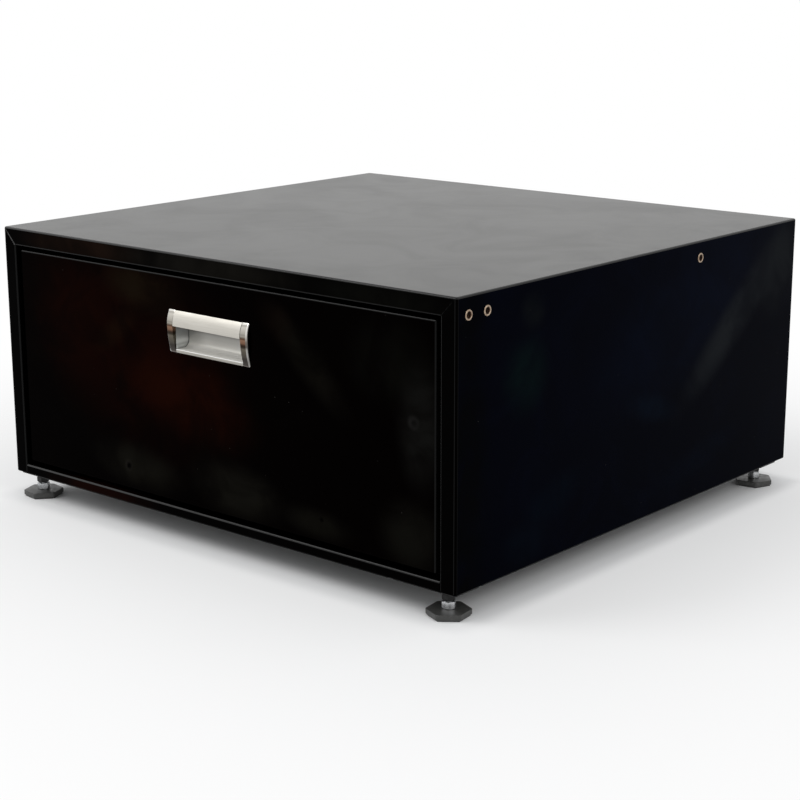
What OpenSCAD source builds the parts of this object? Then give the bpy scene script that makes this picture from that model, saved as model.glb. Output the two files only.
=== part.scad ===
// Washer pedestal with one drawer on ball-bearing slides and four levelling feet.
// Millimetres, +Z up, the drawer opens towards -Y. The origin is on the floor,
// at the centre of the cabinet's plan.

/* [Cabinet] */
// Width across the two outer sides
cabinet_w = 686; // [640:1:760]
// Depth from the front frame to the rear flanges
cabinet_d = 650; // [630:1:700]
// Height of the steel box without its feet
cabinet_h = 300; // [285:1:360]
// Thickness of the folded cabinet sheet
sheet_t = 1.2; // [0.8:0.1:1.5]
// Outer radius of the long folds at the top
fold_r = 2; // [1.6:0.1:4]
// Width of each upright of the front frame
stile_w = 20; // [19:0.5:24]
// Height of the rail above the drawer
top_rail_h = 20.5; // [16:0.5:28]
// Height of the rail below the drawer
bottom_rail_h = 12; // [11:0.5:14]
// How far the frame's inner edges turn back
frame_return = 18; // [12:0.5:18]
// Width of the slit where two frame pieces meet
mitre_gap = 0.3; // [0.2:0.1:0.6]
// Width of the flanges turned in along the bottom and the back
side_flange = 16; // [12:0.5:16]
// Thickness of the back and bottom panels
panel_t = 0.8; // [0.6:0.1:1]
// Inset of the bottom panel from the cabinet's sides
panel_inset = 2; // [1:0.5:4]
// Depth of the front and rear bottom rails
bottom_rail_d = 40; // [38:1:50]
// Height of the rear bottom rail
rear_rail_h = 20; // [17:0.5:30]

/* [Inner frame] */
// Thickness of the corner posts
post_t = 1.5; // [1.2:0.1:2]
// Width of a corner post along the side
post_w = 25; // [20:1:26]
// Thickness of the channels that carry the slides
support_t = 1.5; // [1.2:0.1:2]
// Height of the channels' face
support_h = 60; // [54:1:70]
// Width of the lips that fix the channels to the sides
support_lip = 12; // [8:1:16]
// Thickness of the ribs under the top
rib_t = 1; // [0.8:0.1:1.5]
// Width of the crown of a rib
rib_w = 30; // [20:1:40]
// Depth of a rib
rib_h = 12; // [8:0.5:12]
// Width of the lips that fix a rib to the top
rib_lip = 10; // [6:1:14]
// Distance of each rib from the middle of the cabinet
rib_y = 110; // [70:1:120]

/* [Drawer front] */
// Gap between the drawer front and each upright
front_gap_side = 7; // [4:0.5:8]
// Gap between the drawer front and the top rail
front_gap_top = 5; // [4:0.5:8]
// Gap between the drawer front and the bottom rail
front_gap_bottom = 5.5; // [4:0.5:8]
// How far the drawer front lies behind the frame
front_recess = 2.2; // [0:0.1:4]
// Depth of the folded drawer front
front_d = 24; // [24:0.5:26]
// Width of the flanges behind the drawer front
front_flange = 16; // [14:0.5:20]
// Thickness of the liner behind the drawer front
liner_t = 0.8; // [0.6:0.1:1.2]

/* [Drawer box] */
// Thickness of the drawer box sheet
tray_t = 1; // [0.8:0.1:1.4]
// Length of the drawer box
tray_l = 548; // [500:1:556]
// Height of the drawer box
tray_h = 188; // [150:1:200]
// Height of the box floor above the lower edge of the front
tray_rise = 4.5; // [3:0.5:8]
// Width of the lips along the upper edge
tray_lip = 8; // [6:0.5:12]
// Width of the flanges of the drawer back
back_flange = 14; // [12:1:20]

/* [Slides] */
// Overall thickness of a slide
slide_t = 12.7; // [12.7:0.1:13.5]
// Height of a slide's outer member
slide_h = 45.7; // [45.5:0.1:50]
// Thickness of the slide members
member_t = 1.2; // [1:0.05:1.3]
// Length of the slide members
slide_l = 545; // [480:1:550]
// Height of the slides' centre above the box floor
slide_rise = 68; // [50:1:90]
// Clearance between the slide and the edge of the opening
slide_inset = 1; // [0.5:0.1:2]
// Radius of the bearing balls
ball_r = 1.6; // [1.5:0.05:1.65]
// Running clearance of the balls on each side
ball_play = 0.05; // [0.02:0.01:0.08]
// Thickness of the ball cages
cage_t = 0.5; // [0.4:0.05:0.5]
// Length of the ball cages
cage_l = 290; // [200:1:290]
// Number of balls in a row
ball_count = 8; // [4:1:12]
// Free travel of the drawer
travel = 500; // [400:5:505]
// Length of the rubber stop in the rear end of a slide
stop_l = 5; // [4:0.5:8]

/* [Handle] */
// Width of the handle over its end caps
handle_w = 124; // [110:0.5:160]
// Height of the handle
handle_h = 47.5; // [44:0.5:52]
// Height of the handle's centre above the lower edge of the cabinet
handle_z = 213.2; // [180:0.1:220]
// Width of each end cap
cap_w = 10; // [9:0.5:14]
// How far the handle bulges out
handle_bulge = 5; // [4:0.1:7]
// Height of the fullest point of the bulge
bulge_z = 32; // [30:0.5:33]
// Depth of the finger cup
cup_d = 20; // [14:0.5:21]
// Wall thickness of the finger cup
cup_wall = 1.6; // [1.2:0.1:2]
// Inner radius at the bottom of the finger cup
cup_floor_r = 8; // [4:0.5:9]
// Inner radius at the top of the finger cup
cup_roof_r = 4; // [2:0.5:6]
// Height of the visor over the finger cup
visor_h = 17.5; // [14:0.5:20]
// Height of the lip under the finger cup
lip_h = 4; // [3.5:0.5:5]
// Height of the lower screw of each end cap above the handle's foot
cap_screw_low = 14; // [10:0.5:20]
// Height of the upper screw of each end cap above the handle's foot
cap_screw_high = 38; // [30:0.5:40]

/* [Feet] */
// Distance of the foot's axis from the cabinet's side
foot_side = 24.5; // [24.5:0.5:27]
// Distance of the front feet's axis from the front
foot_front = 20; // [18:0.5:22]
// Distance of the rear feet's axis from the back
foot_back = 31; // [26:0.5:36]
// Radius of the corners of the foot's six-sided base
foot_r = 24; // [20:0.5:26]
// Thickness of the rubber pad
pad_t = 1; // [1:0.5:3]
// Height of the plastic base above the pad
base_h = 7; // [5.5:0.5:9]
// Height of the foot's hexagon
hex_h = 7.9; // [6:0.1:9]
// Width of the foot's hexagon across its flats
hex_af = 13; // [11:0.5:14]
// Radius of the threaded stud
stud_r = 4; // [3:0.5:4]
// Radial running clearance of the stud
stud_play = 0.05; // [0.02:0.01:0.08]
// Travel of a levelling foot
foot_travel = 14; // [8:1:14]
// Gap between the hexagon and the welded nut at the lowest setting
hex_gap = 1; // [0.5:0.1:2]
// Height of a foot bracket with the nut under it
bracket_h = 13; // [12.5:0.5:14]
// Width of the foot bracket
bracket_w = 64; // [60:1:70]
// Length of the foot bracket, front to back
bracket_l = 40; // [36:1:44]
// Thickness of the foot bracket
bracket_t = 2; // [1.5:0.1:2.5]
// Height of the nut welded under the bracket
nut_h = 6.5; // [5:0.1:8]

/* [Fasteners] */
// Radius of the thread of the rivet nuts
rivet_bore_r = 3; // [2.5:0.1:3.5]
// Radius of the barrel of a rivet nut
rivet_r = 4.5; // [4:0.1:5]
// Radius of the flange of a rivet nut
rivet_flange_r = 5.5; // [5.2:0.1:7]
// Length of the barrel of a rivet nut
rivet_l = 11; // [8:0.5:14]
// Height of a rivet nut's flange
rivet_flange_t = 0.9; // [0.5:0.1:1.2]
// Distance of the rivet nuts below the top
rivet_drop = 19.5; // [17:0.5:24]
// Distance of the first rivet nut from the front
rivet_first = 18; // [16:0.5:22]
// Distance of the second rivet nut from the front
rivet_second = 47; // [42:0.5:60]
// Distance of the rear rivet nut from the front
rivet_third = 434; // [430:1:438]
// Radius of the shank of the sheet-metal screws
screw_r = 1.7; // [1.5:0.1:2]
// Radius of the head of the sheet-metal screws
screw_head_r = 3.2; // [3:0.1:3.5]
// Height of the head of the sheet-metal screws
screw_head_h = 1.6; // [1.2:0.1:1.8]
// Length of the shank of the sheet-metal screws
screw_l = 6; // [5.5:0.5:8]
// Distance of the outer screws of the back panel from its upper and lower edge
back_screw_inset = 50; // [40:1:70]
// Distance between the screws along the top and the bottom of the back panel
back_screw_pitch = 206; // [150:1:250]
// Height of the lowest screws of the back panel above the cabinet's edge
back_screw_low = 11; // [8:0.5:12]
// Distance of a slide's outer screws from its ends
slide_screw_inset = 60; // [40:1:100]
// Distance between the screws along the top of the drawer front
front_screw_pitch = 174; // [120:1:190]
// Distance of the drawer box's screws from its floor and its upper edge
tray_screw_inset = 40; // [30:1:60]
// Distance of the drawer back's lower screws below the slides
tray_screw_drop = 17; // [8:1:25]

/* [Hidden] */
$fn = 48;
// Overlap of a cut beyond the face it opens
over = 1;
// Clearance between sheets that only lie beside each other
sheet_gap = 0.3;
// Clearance between faces of neighbouring slide members
member_gap = 0.3;

half_w = cabinet_w / 2;
half_d = cabinet_d / 2;
box_z = pad_t + base_h + stud_play * 2 + hex_h + hex_gap + bracket_h;
top_z = box_z + cabinet_h;
side_in = half_w - sheet_t;
open_x = half_w - stile_w;
open_z0 = box_z + bottom_rail_h;
open_z1 = top_z - top_rail_h;

// Back panel and the post behind each corner
back_y = half_d - sheet_t;
top_flange_z = top_z - sheet_t - side_flange;
mitre_rise = mitre_gap / 2 * norm([stile_w, top_rail_h]) / stile_w;
post_inner_x = open_x + sheet_t + sheet_gap;
front_post_y = -half_d + frame_return + 0.5;
rear_post_y = back_y - panel_t - sheet_gap - 0.7;
post_hole_r = rivet_r + 1.5;

// Drawer front: a pan with its edges turned back
front_y = -half_d + front_recess;
front_half = open_x - front_gap_side;
front_z0 = open_z0 + front_gap_bottom;
front_z1 = open_z1 - front_gap_top;
liner_y = front_y + front_d;
flange_mid = front_half - front_flange + 3.5;
top_screw_z = front_z1 - front_flange / 2;

// Drawer box and slides
tray_y0 = liner_y + liner_t;
tray_y1 = tray_y0 + tray_l;
tray_z0 = front_z0 + tray_rise;
tray_z1 = tray_z0 + tray_h;
slide_x = open_x - slide_inset;
tray_half = slide_x - slide_t;
slide_z = tray_z0 + slide_rise;
slide_y0 = tray_y0 + 2;
slide_y1 = slide_y0 + slide_l;

// Section of a slide: u runs from the cabinet to the drawer, v up from the middle
outer_v = slide_h / 2;
outer_ball_v = outer_v - member_t - ball_play - ball_r;
middle_v = outer_ball_v - ball_r - ball_play;
inner_ball_v = middle_v - member_t - ball_play - ball_r;
inner_v = inner_ball_v - ball_r - ball_play;
outer_cage_u = member_t + member_gap;
middle_u = outer_cage_u + cage_t + member_gap;
inner_cage_u = middle_u + member_t + member_gap;
inner_u = inner_cage_u + cage_t + member_gap;
outer_depth = 9.5;
middle_depth = 8.6;
raceway_lip = member_t + ball_r + ball_play;
outer_ball_u = 4.9;
inner_ball_u = 7.2;
cage_flange = 5.5;
cage_web = 0.8;
cage_y0 = slide_y0 + travel / 4 + 2;
ball_pitch = (cage_l - 20) / (ball_count - 1);
slide_screw_y = [for (i = [0:2]) slide_y0 + slide_screw_inset + i * (slide_l - 2 * slide_screw_inset) / 2];
support_y0 = front_post_y + post_w + 2;
support_y1 = rear_post_y - post_w - 2;

// Handle section: o points out of the drawer front, h up from the handle's foot
handle_foot_z = box_z + handle_z - handle_h / 2;
cap_x = handle_w / 2 - cap_w;
end_wall = 2;
upper_run = handle_h - bulge_z;
upper_r = arc_radius(handle_bulge, upper_run);
lower_r = arc_radius(handle_bulge, bulge_z);
cup_h0 = lip_h;
cup_h1 = handle_h - lip_h + 0.5;
cut_gap = 0.4;
cap_screw_x = cap_x + cap_w / 2 + 1;
cap_screw_h = [cap_screw_low, cap_screw_high];
cap_screw_l = 3.4;

// Feet
foot_x = half_w - foot_side;
front_foot_y = -half_d + foot_front;
rear_foot_y = half_d - foot_back;
hex_z = pad_t + base_h + stud_play * 2;
bracket_z = box_z - bracket_h;
bracket_x0 = half_w - 13 - bracket_w;
bracket_x1 = half_w - 13;
bracket_lip = 10;
bracket_reach = 24;
foot_turn = 8;
front_right_foot_turn = 38;
stud_socket = 4.5;
stud_top = bracket_z + bracket_t + nut_h + foot_travel;
foot_hole_r = stud_r + 1;

// Rivet nuts and screws
rivet_z = top_z - rivet_drop;
rivet_y = [for (d = [rivet_first, rivet_second, rivet_third]) -half_d + d];
side_screw_z = [for (i = [0:2]) box_z + back_screw_inset + i * (cabinet_h / 2 - back_screw_inset)];
row_screw_x = [for (i = [-1:1]) i * back_screw_pitch];
flange_screw = side_flange / 2;
tray_screw_z = [slide_z - outer_v - tray_screw_drop, tray_z1 - tray_screw_inset];
front_screw_z = [tray_z0 + tray_screw_inset, tray_z1 - tray_screw_inset];
front_row_x = [for (i = [-1.5:1:1.5]) i * front_screw_pitch];

black = [0.04, 0.04, 0.045];
dark_zinc = [0.55, 0.56, 0.57];
zinc = [0.74, 0.75, 0.77];
brass = [0.66, 0.52, 0.27];
satin = [0.76, 0.76, 0.75];
bright = [0.86, 0.87, 0.88];
rubber = [0.09, 0.09, 0.09];

// Radius of an arc that rises by `rise` over `run` from its level end
function arc_radius(rise, run) = (run * run + rise * rise) / (2 * rise);

// ---- Helpers ----

// Box between two corners
module block(from, to) {
    translate(from) cube(to - from);
}

// The children as they are on the right, mirrored on the left
module on_side(side) {
    if (side > 0) children();
    else mirror([1, 0, 0]) children();
}

// A shape drawn in X and Z, extruded from y0 to y1
module along_y(y0, y1) {
    translate([0, y1, 0]) rotate([90, 0, 0]) linear_extrude(y1 - y0) children();
}

// A shape drawn in Y and Z, extruded from x0 to x1
module along_x(x0, x1) {
    translate([x0, 0, 0]) rotate([90, 0, 90]) linear_extrude(x1 - x0) children();
}

// Rectangle between two corners
module rect(from, to) {
    translate(from) square(to - from);
}

// Rod of a radius from one height to another, at a place in plan
module rod_z(x, y, z0, z1, r) {
    translate([x, y, z0]) cylinder(h = z1 - z0, r = r);
}

// Rod along X
module rod_x(x0, x1, y, z, r) {
    translate([x0, y, z]) rotate([0, 90, 0]) cylinder(h = x1 - x0, r = r);
}

// Rod along Y
module rod_y(x, y0, y1, z, r) {
    translate([x, y1, z]) rotate([90, 0, 0]) cylinder(h = y1 - y0, r = r);
}

// Screw along Y: its head lies against seat_y and its shank points along dir
module screw_y(x, seat_y, z, dir) {
    if (dir > 0) {
        rod_y(x, seat_y - screw_head_h, seat_y, z, screw_head_r);
        rod_y(x, seat_y - 0.1, seat_y + screw_l, z, screw_r);
    } else {
        rod_y(x, seat_y, seat_y + screw_head_h, z, screw_head_r);
        rod_y(x, seat_y - screw_l, seat_y + 0.1, z, screw_r);
    }
}

// ---- Cabinet sheet metal ----

// Outline of the cabinet seen from the front, with its upper folds rounded
module cabinet_outline(inset, r) {
    x = half_w - inset;
    z = top_z - inset;
    rect([-x, box_z], [x, z - r]);
    rect([-x + r, z - r - over], [x - r, z]);
    for (side = [-1, 1]) translate([side * (x - r), z - r]) circle(r);
}

// Section of the top sheet: flat, with a fold along each side
module top_section() {
    difference() {
        cabinet_outline(0, fold_r);
        cabinet_outline(sheet_t, fold_r - sheet_t);
        rect([-half_w - over, box_z - over], [half_w + over, top_z - fold_r]);
    }
}

// Top with its front rail, the rail's return and the rear flange
module top_sheet() {
    color(black) difference() {
        union() {
            along_y(-half_d, half_d) top_section();
            along_y(-half_d, -half_d + sheet_t) intersection() {
                cabinet_outline(0, fold_r);
                polygon([[-half_w, top_z + mitre_rise], [-open_x, open_z1 + mitre_rise], [-open_x, open_z1],
                         [open_x, open_z1], [open_x, open_z1 + mitre_rise], [half_w, top_z + mitre_rise]]);
            }
            block([-open_x, -half_d, open_z1], [open_x, -half_d + frame_return, open_z1 + sheet_t]);
            block([-side_in + sheet_gap, back_y, top_flange_z],
                  [side_in - sheet_gap, half_d, top_z - sheet_t / 2]);
        }
        back_screw_holes();
    }
}

// Side with its upright of the front frame and its flanges
module side_sheet(side) {
    color(black) on_side(side) difference() {
        union() {
            along_y(-half_d, half_d) rect([side_in, box_z], [half_w, top_z - fold_r]);
            along_y(-half_d, -half_d + sheet_t) difference() {
                intersection() {
                    cabinet_outline(0, fold_r);
                    polygon([[open_x, box_z], [half_w, box_z],
                             [half_w, top_z - mitre_rise], [open_x, open_z1 - mitre_rise]]);
                }
                top_section();
            }
            block([open_x, -half_d, box_z], [open_x + sheet_t, -half_d + frame_return, open_z1 - mitre_rise]);
            block([side_in - side_flange, -half_d + frame_return + sheet_gap, box_z],
                  [side_in + sheet_t / 2, half_d, box_z + sheet_t]);
            block([side_in - side_flange, back_y, box_z],
                  [side_in + sheet_t / 2, half_d, top_flange_z - sheet_gap]);
        }
        for (y = rivet_y) rod_x(side_in - over, half_w + over, y, rivet_z, rivet_r);
        back_screw_holes();
    }
}

// Where the screws of the back panel sit: [x, z, lies on a flange]
back_screw_places = concat(
    [for (side = [-1, 1], z = side_screw_z) [side * (side_in - flange_screw), z, true]],
    [for (x = row_screw_x) [x, top_z - sheet_t - flange_screw, true]],
    [for (x = row_screw_x) [x, box_z + back_screw_low, false]]
);

module back_screw_holes() {
    for (p = back_screw_places) rod_y(p[0], back_y - 3, half_d + over, p[1], screw_r);
}

module back_panel() {
    x = side_in - sheet_gap;
    color(black) difference() {
        block([-x, back_y - panel_t, box_z + sheet_t + sheet_gap], [x, back_y, top_z - sheet_t - sheet_gap]);
        back_screw_holes();
    }
}

module back_panel_screws() {
    color(zinc) for (p = back_screw_places) screw_y(p[0], p[2] ? half_d : back_y, p[1], -1);
}

// Channel between the uprights, below the drawer
module bottom_front_rail() {
    x = open_x - sheet_gap;
    color(black) difference() {
        union() {
            block([-x, -half_d, box_z], [x, -half_d + sheet_t, open_z0]);
            block([-x, -half_d, box_z], [x, -half_d + bottom_rail_d, box_z + sheet_t]);
            block([-x, -half_d, open_z0 - sheet_t], [x, -half_d + frame_return, open_z0]);
        }
        for (side = [-1, 1])
            rod_z(side * foot_x, front_foot_y, box_z - over, box_z + sheet_t + over, foot_hole_r);
    }
}

// Angle along the lower edge of the back
module bottom_rear_rail() {
    x = side_in - side_flange - sheet_gap;
    face_y = back_y - panel_t;
    color(black) difference() {
        union() {
            block([-x, face_y - bottom_rail_d, box_z], [x, face_y, box_z + sheet_t]);
            block([-x, face_y - sheet_t, box_z], [x, face_y, box_z + rear_rail_h]);
        }
        for (side = [-1, 1])
            rod_z(side * foot_x, rear_foot_y, box_z - over, box_z + sheet_t + over, foot_hole_r);
        for (x = row_screw_x) rod_y(x, face_y - 3, half_d, box_z + back_screw_low, screw_r);
    }
}

// Sheet that closes the bottom, cut out around the foot brackets
module bottom_panel() {
    x = half_w - panel_inset;
    y = half_d - panel_inset;
    notch_x = bracket_x0 - bracket_lip - 3;
    color(black) difference() {
        block([-x, -y, box_z - panel_t], [x, y, box_z]);
        for (side = [-1, 1]) on_side(side) {
            block([notch_x, -y - over, box_z - 3], [x + over, front_foot_y + bracket_reach + 1, box_z + 3]);
            block([notch_x, rear_foot_y - bracket_reach - 1, box_z - 3], [x + over, y + over, box_z + 3]);
        }
    }
}

// ---- Inner frame ----

// Angle in a corner: leg against the side from y0, inward leg at inward_y
module corner_post(side, y0, inward_y) {
    color(black) on_side(side) difference() {
        union() {
            block([side_in - post_t, y0, box_z + sheet_t], [side_in, y0 + post_w, top_z - sheet_t]);
            block([post_inner_x, inward_y, box_z + sheet_t], [side_in, inward_y + post_t, top_z - sheet_t]);
        }
        for (y = rivet_y) rod_x(post_inner_x - over, half_w, y, rivet_z, post_hole_r);
        block([post_inner_x - over, y0 - over, top_z - fold_r - 0.5], [half_w, y0 + post_w + over, top_z]);
    }
}

module front_post(side) {
    corner_post(side, front_post_y, front_post_y);
}

module rear_post(side) {
    corner_post(side, rear_post_y - post_w, rear_post_y - post_w);
}

// Two hat-shaped ribs under the top
module top_ribs() {
    z1 = top_z - sheet_t;
    z0 = z1 - rib_h;
    w = rib_w / 2;
    color(black) for (y = [-rib_y, rib_y]) translate([0, y, 0]) along_x(-side_in + 1, side_in - 1) {
        rect([-w, z0], [w, z0 + rib_t]);
        for (s = [0, 1]) mirror([s, 0]) {
            rect([w - rib_t, z0], [w, z1]);
            rect([w - rib_t, z1 - rib_t], [w + rib_lip, z1]);
        }
    }
}

// Channel that brings the slide inside the opening
module slide_support(side) {
    h = support_h / 2;
    color(black) on_side(side) difference() {
        translate([0, 0, slide_z]) along_y(support_y0, support_y1) {
            rect([slide_x, -h], [slide_x + support_t, h]);
            for (s = [0, 1]) mirror([0, s]) {
                rect([slide_x, h - support_t], [side_in, h]);
                rect([side_in - support_t, h - support_t], [side_in, h + support_lip]);
            }
        }
        for (y = slide_screw_y) rod_x(slide_x - over, slide_x + support_t + over, y, slide_z, screw_r);
    }
}

// ---- Slides ----

// Channel with its web at u and its flanges towards u + depth; `lip` counts from the flange's face
module channel_section(u, depth, v, wall, flange, lip) {
    difference() {
        rect([u, -v], [u + depth, v]);
        rect([u + wall, -v + flange], [u + depth - wall, v - flange]);
        rect([u + wall, -v + lip], [u + depth + over, v - lip]);
    }
}

// Places the slide's section: u towards the drawer, v up
module slide_section(side, y0, y1) {
    on_side(side) translate([slide_x, 0, slide_z]) mirror([1, 0, 0]) along_y(y0, y1) children();
}

// Conical hole or head in the web of the outer member
module slide_countersink(y) {
    translate([slide_x - member_t, y, slide_z]) rotate([0, 90, 0])
        cylinder(h = member_t, r1 = screw_head_r, r2 = screw_r);
}

module slide_outer(side) {
    color(zinc) difference() {
        slide_section(side, slide_y0, slide_y1 + stop_l + member_gap)
            channel_section(0, outer_depth, outer_v, member_t, member_t, raceway_lip);
        on_side(side) for (y = slide_screw_y) slide_countersink(y);
    }
}

module slide_middle(side) {
    color(zinc) slide_section(side, slide_y0, slide_y1)
        channel_section(middle_u, middle_depth, middle_v, member_t, member_t, raceway_lip);
}

module slide_inner(side) {
    color(zinc) difference() {
        slide_section(side, slide_y0, slide_y1) translate([slide_t, 0]) mirror([1, 0])
            channel_section(0, slide_t - inner_u, inner_v, member_t, member_t, member_t);
        on_side(side) for (y = slide_screw_y)
            rod_x(tray_half - over, tray_half + member_t + over, y, slide_z, screw_r);
    }
}

// Strip that keeps the balls apart, with its two flanges between the raceways
module ball_cage(side, u, ball_u, ball_v) {
    color(dark_zinc) difference() {
        slide_section(side, cage_y0, cage_y0 + cage_l)
            channel_section(u, cage_flange, ball_v + cage_web / 2, cage_t, cage_web, cage_web);
        ball_places(side, ball_u, ball_v)
            translate([0, 0, -cage_web]) cylinder(h = 2 * cage_web, r = ball_r + ball_play);
    }
}

// Repeats the children at every ball of a slide's two rows
module ball_places(side, ball_u, ball_v) {
    on_side(side) for (s = [-1, 1], i = [0:ball_count - 1])
        translate([slide_x - ball_u, cage_y0 + 10 + i * ball_pitch, slide_z + s * ball_v]) children();
}

module slide_balls(side, ball_u, ball_v) {
    color(bright) ball_places(side, ball_u, ball_v) sphere(r = ball_r);
}

// Rubber stop in the rear end of each outer member
module slide_stops() {
    v = inner_v - member_t;
    color(rubber) for (side = [-1, 1])
        slide_section(side, slide_y1 + member_gap, slide_y1 + stop_l + member_gap)
            rect([member_t, -v], [slide_t - 2, v]);
}

// Countersunk screws through the outer members into the supports
module slide_mount_screws() {
    color(zinc) for (side = [-1, 1], y = slide_screw_y) on_side(side) {
        slide_countersink(y);
        rod_x(slide_x - 0.1, slide_x + screw_l, y, slide_z, screw_r);
    }
}

// Screws through the inner members into the drawer's sides
module drawer_slide_screws() {
    head_x = tray_half + member_t;
    color(zinc) for (side = [-1, 1], y = slide_screw_y) on_side(side) {
        rod_x(head_x, head_x + screw_head_h, y, slide_z, screw_head_r);
        rod_x(head_x + 0.1 - member_t - tray_t - 1.5, head_x + 0.1, y, slide_z, screw_r);
    }
}

// ---- Drawer ----

// Screw places in the drawer front's flanges: beside the tray, and along the top
module front_screw_holes(y0, y1) {
    for (side = [-1, 1], z = front_screw_z) rod_y(side * flange_mid, y0, y1, z, screw_r);
    for (x = front_row_x) rod_y(x, y0, y1, top_screw_z, screw_r);
}

// Opening in the skin for the handle, with its screw holes
module handle_cutout() {
    cup = end_wall + cut_gap;
    z0 = handle_foot_z + cup_h0 - cup_wall - cut_gap;
    z1 = handle_foot_z + cup_h1 + cup_wall + cut_gap;
    block([-cap_x - cup, front_y - over, z0], [cap_x + cup, front_y + sheet_t + over, z1]);
    for (side = [-1, 1], h = cap_screw_h)
        rod_y(side * cap_screw_x, front_y - over, front_y + sheet_t + over, handle_foot_z + h, screw_r);
}

// Outer pan of the drawer front: face, folded edges and rear flanges
module drawer_front_skin() {
    x = front_half;
    f = front_flange;
    color(black) difference() {
        block([-x, front_y, front_z0], [x, liner_y, front_z1]);
        block([-x + sheet_t, front_y + sheet_t, front_z0 + sheet_t],
              [x - sheet_t, liner_y - sheet_t, front_z1 - sheet_t]);
        block([-x + f, front_y + front_d / 2, front_z0 + f], [x - f, liner_y + over, front_z1 - f]);
        front_screw_holes(liner_y - 3, liner_y + over);
        handle_cutout();
    }
}

// Flat sheet that closes the back of the pan
module drawer_front_liner() {
    color(black) difference() {
        block([-front_half + 1, liner_y, front_z0 + 1], [front_half - 1, tray_y0, front_z1 - 1]);
        front_screw_holes(liner_y - over, tray_y0 + over);
    }
}

// Floor, sides and inner front of the drawer box, with lips along the upper edge
module drawer_tray() {
    x = tray_half;
    color(black) difference() {
        union() {
            difference() {
                block([-x, tray_y0, tray_z0], [x, tray_y1, tray_z1]);
                block([-x + tray_t, tray_y0 + tray_t, tray_z0 + tray_t],
                      [x - tray_t, tray_y1 + over, tray_z1 + over]);
            }
            for (side = [-1, 1]) on_side(side)
                block([x - tray_lip, tray_y0, tray_z1 - tray_t], [x, tray_y1 - back_flange - 2, tray_z1]);
        }
        for (side = [-1, 1], z = front_screw_z)
            rod_y(side * flange_mid, tray_y0 - over, tray_y0 + tray_t + over, z, screw_r);
        for (side = [-1, 1], y = slide_screw_y) on_side(side)
            rod_x(x - tray_t - over, x + over, y, slide_z, screw_r);
        back_screw_bores();
    }
}

// Bores for the screws that join the tray's sides and the drawer back
module back_screw_bores() {
    for (side = [-1, 1], z = tray_screw_z) on_side(side)
        rod_x(tray_half - 4, tray_half + over, tray_y1 - back_flange / 2, z, screw_r);
}

// Rear wall of the drawer box with flanges turned forward
module drawer_back() {
    x = tray_half - tray_t;
    z0 = tray_z0 + tray_t;
    color(black) difference() {
        union() {
            block([-x, tray_y1 - tray_t, z0], [x, tray_y1, tray_z1]);
            block([-x, tray_y1 - tray_lip, tray_z1 - tray_t], [x, tray_y1, tray_z1]);
            for (side = [-1, 1]) on_side(side)
                block([x - tray_t, tray_y1 - back_flange, z0], [x, tray_y1, tray_z1]);
        }
        back_screw_bores();
    }
}

module drawer_back_screws() {
    y = tray_y1 - back_flange / 2;
    color(zinc) for (side = [-1, 1], z = tray_screw_z) on_side(side) {
        rod_x(tray_half, tray_half + screw_head_h, y, z, screw_head_r);
        rod_x(tray_half - 2 * tray_t - 2, tray_half + 0.1, y, z, screw_r);
    }
}

// Screws from inside the drawer into the flanges of its front
module drawer_front_screws() {
    color(zinc) {
        for (side = [-1, 1], z = front_screw_z) screw_y(side * flange_mid, tray_y0 + tray_t, z, -1);
        for (x = front_row_x) screw_y(x, tray_y0, top_screw_z, -1);
    }
}

// ---- Handle ----

// Bulging outline of the handle, inset by a wall
module handle_outline(inset) {
    intersection() {
        translate([handle_bulge - upper_r, bulge_z]) circle(upper_r - inset, $fn = 180);
        rect([0, bulge_z], [handle_bulge, handle_h]);
    }
    intersection() {
        translate([handle_bulge - lower_r, bulge_z]) circle(lower_r - inset, $fn = 360);
        rect([0, 0], [handle_bulge, bulge_z]);
    }
}

// Section of the finger cup, grown by a wall, rounded at its rear corners
module cup_outline(grow) {
    o = -cup_d + cup_wall - grow;
    h0 = cup_h0 - grow;
    h1 = cup_h1 + grow;
    floor_r = cup_floor_r + grow;
    roof_r = cup_roof_r + grow;
    rect([o, h0 + floor_r], [0, h1 - roof_r]);
    rect([o + floor_r, h0], [0, h0 + floor_r + 0.1]);
    rect([o + roof_r, h1 - roof_r - 0.1], [0, h1]);
    translate([o + floor_r, h0 + floor_r]) circle(floor_r);
    translate([o + roof_r, h1 - roof_r]) circle(roof_r);
}

// Places a handle section at the drawer front, from x0 to x1
module handle_section(x0, x1) {
    translate([0, front_y, handle_foot_z]) along_x(x0, x1) mirror([1, 0]) children();
}

// Extruded body: visor, finger cup and lower lip in one section
module handle_body() {
    visor_z = handle_h - visor_h;
    color(satin) handle_section(-cap_x, cap_x) {
        difference() {
            handle_outline(0);
            rect([-over, lip_h], [handle_bulge + over, visor_z]);
            difference() {
                handle_outline(cup_wall);
                rect([-over, -over], [handle_bulge, lip_h]);
                rect([-over, cup_h1], [handle_bulge, handle_h + over]);
            }
        }
        difference() {
            cup_outline(cup_wall);
            cup_outline(0);
        }
    }
}

// Polished cap that closes the handle and the cup at one end
module handle_cap(side) {
    color(bright) on_side(side) difference() {
        union() {
            handle_section(cap_x, cap_x + cap_w) handle_outline(0);
            handle_section(cap_x, cap_x + end_wall) cup_outline(cup_wall);
        }
        for (h = cap_screw_h) rod_y(cap_screw_x, front_y - 2.2, front_y + over, handle_foot_z + h, screw_r);
    }
}

// Screws through the skin into the caps
module handle_screws() {
    seat = front_y + sheet_t;
    color(zinc) for (side = [-1, 1], h = cap_screw_h) {
        rod_y(side * cap_screw_x, seat, seat + screw_head_h, handle_foot_z + h, screw_head_r);
        rod_y(side * cap_screw_x, seat - cap_screw_l, seat + 0.1, handle_foot_z + h, screw_r);
    }
}

// ---- Feet ----

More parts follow.
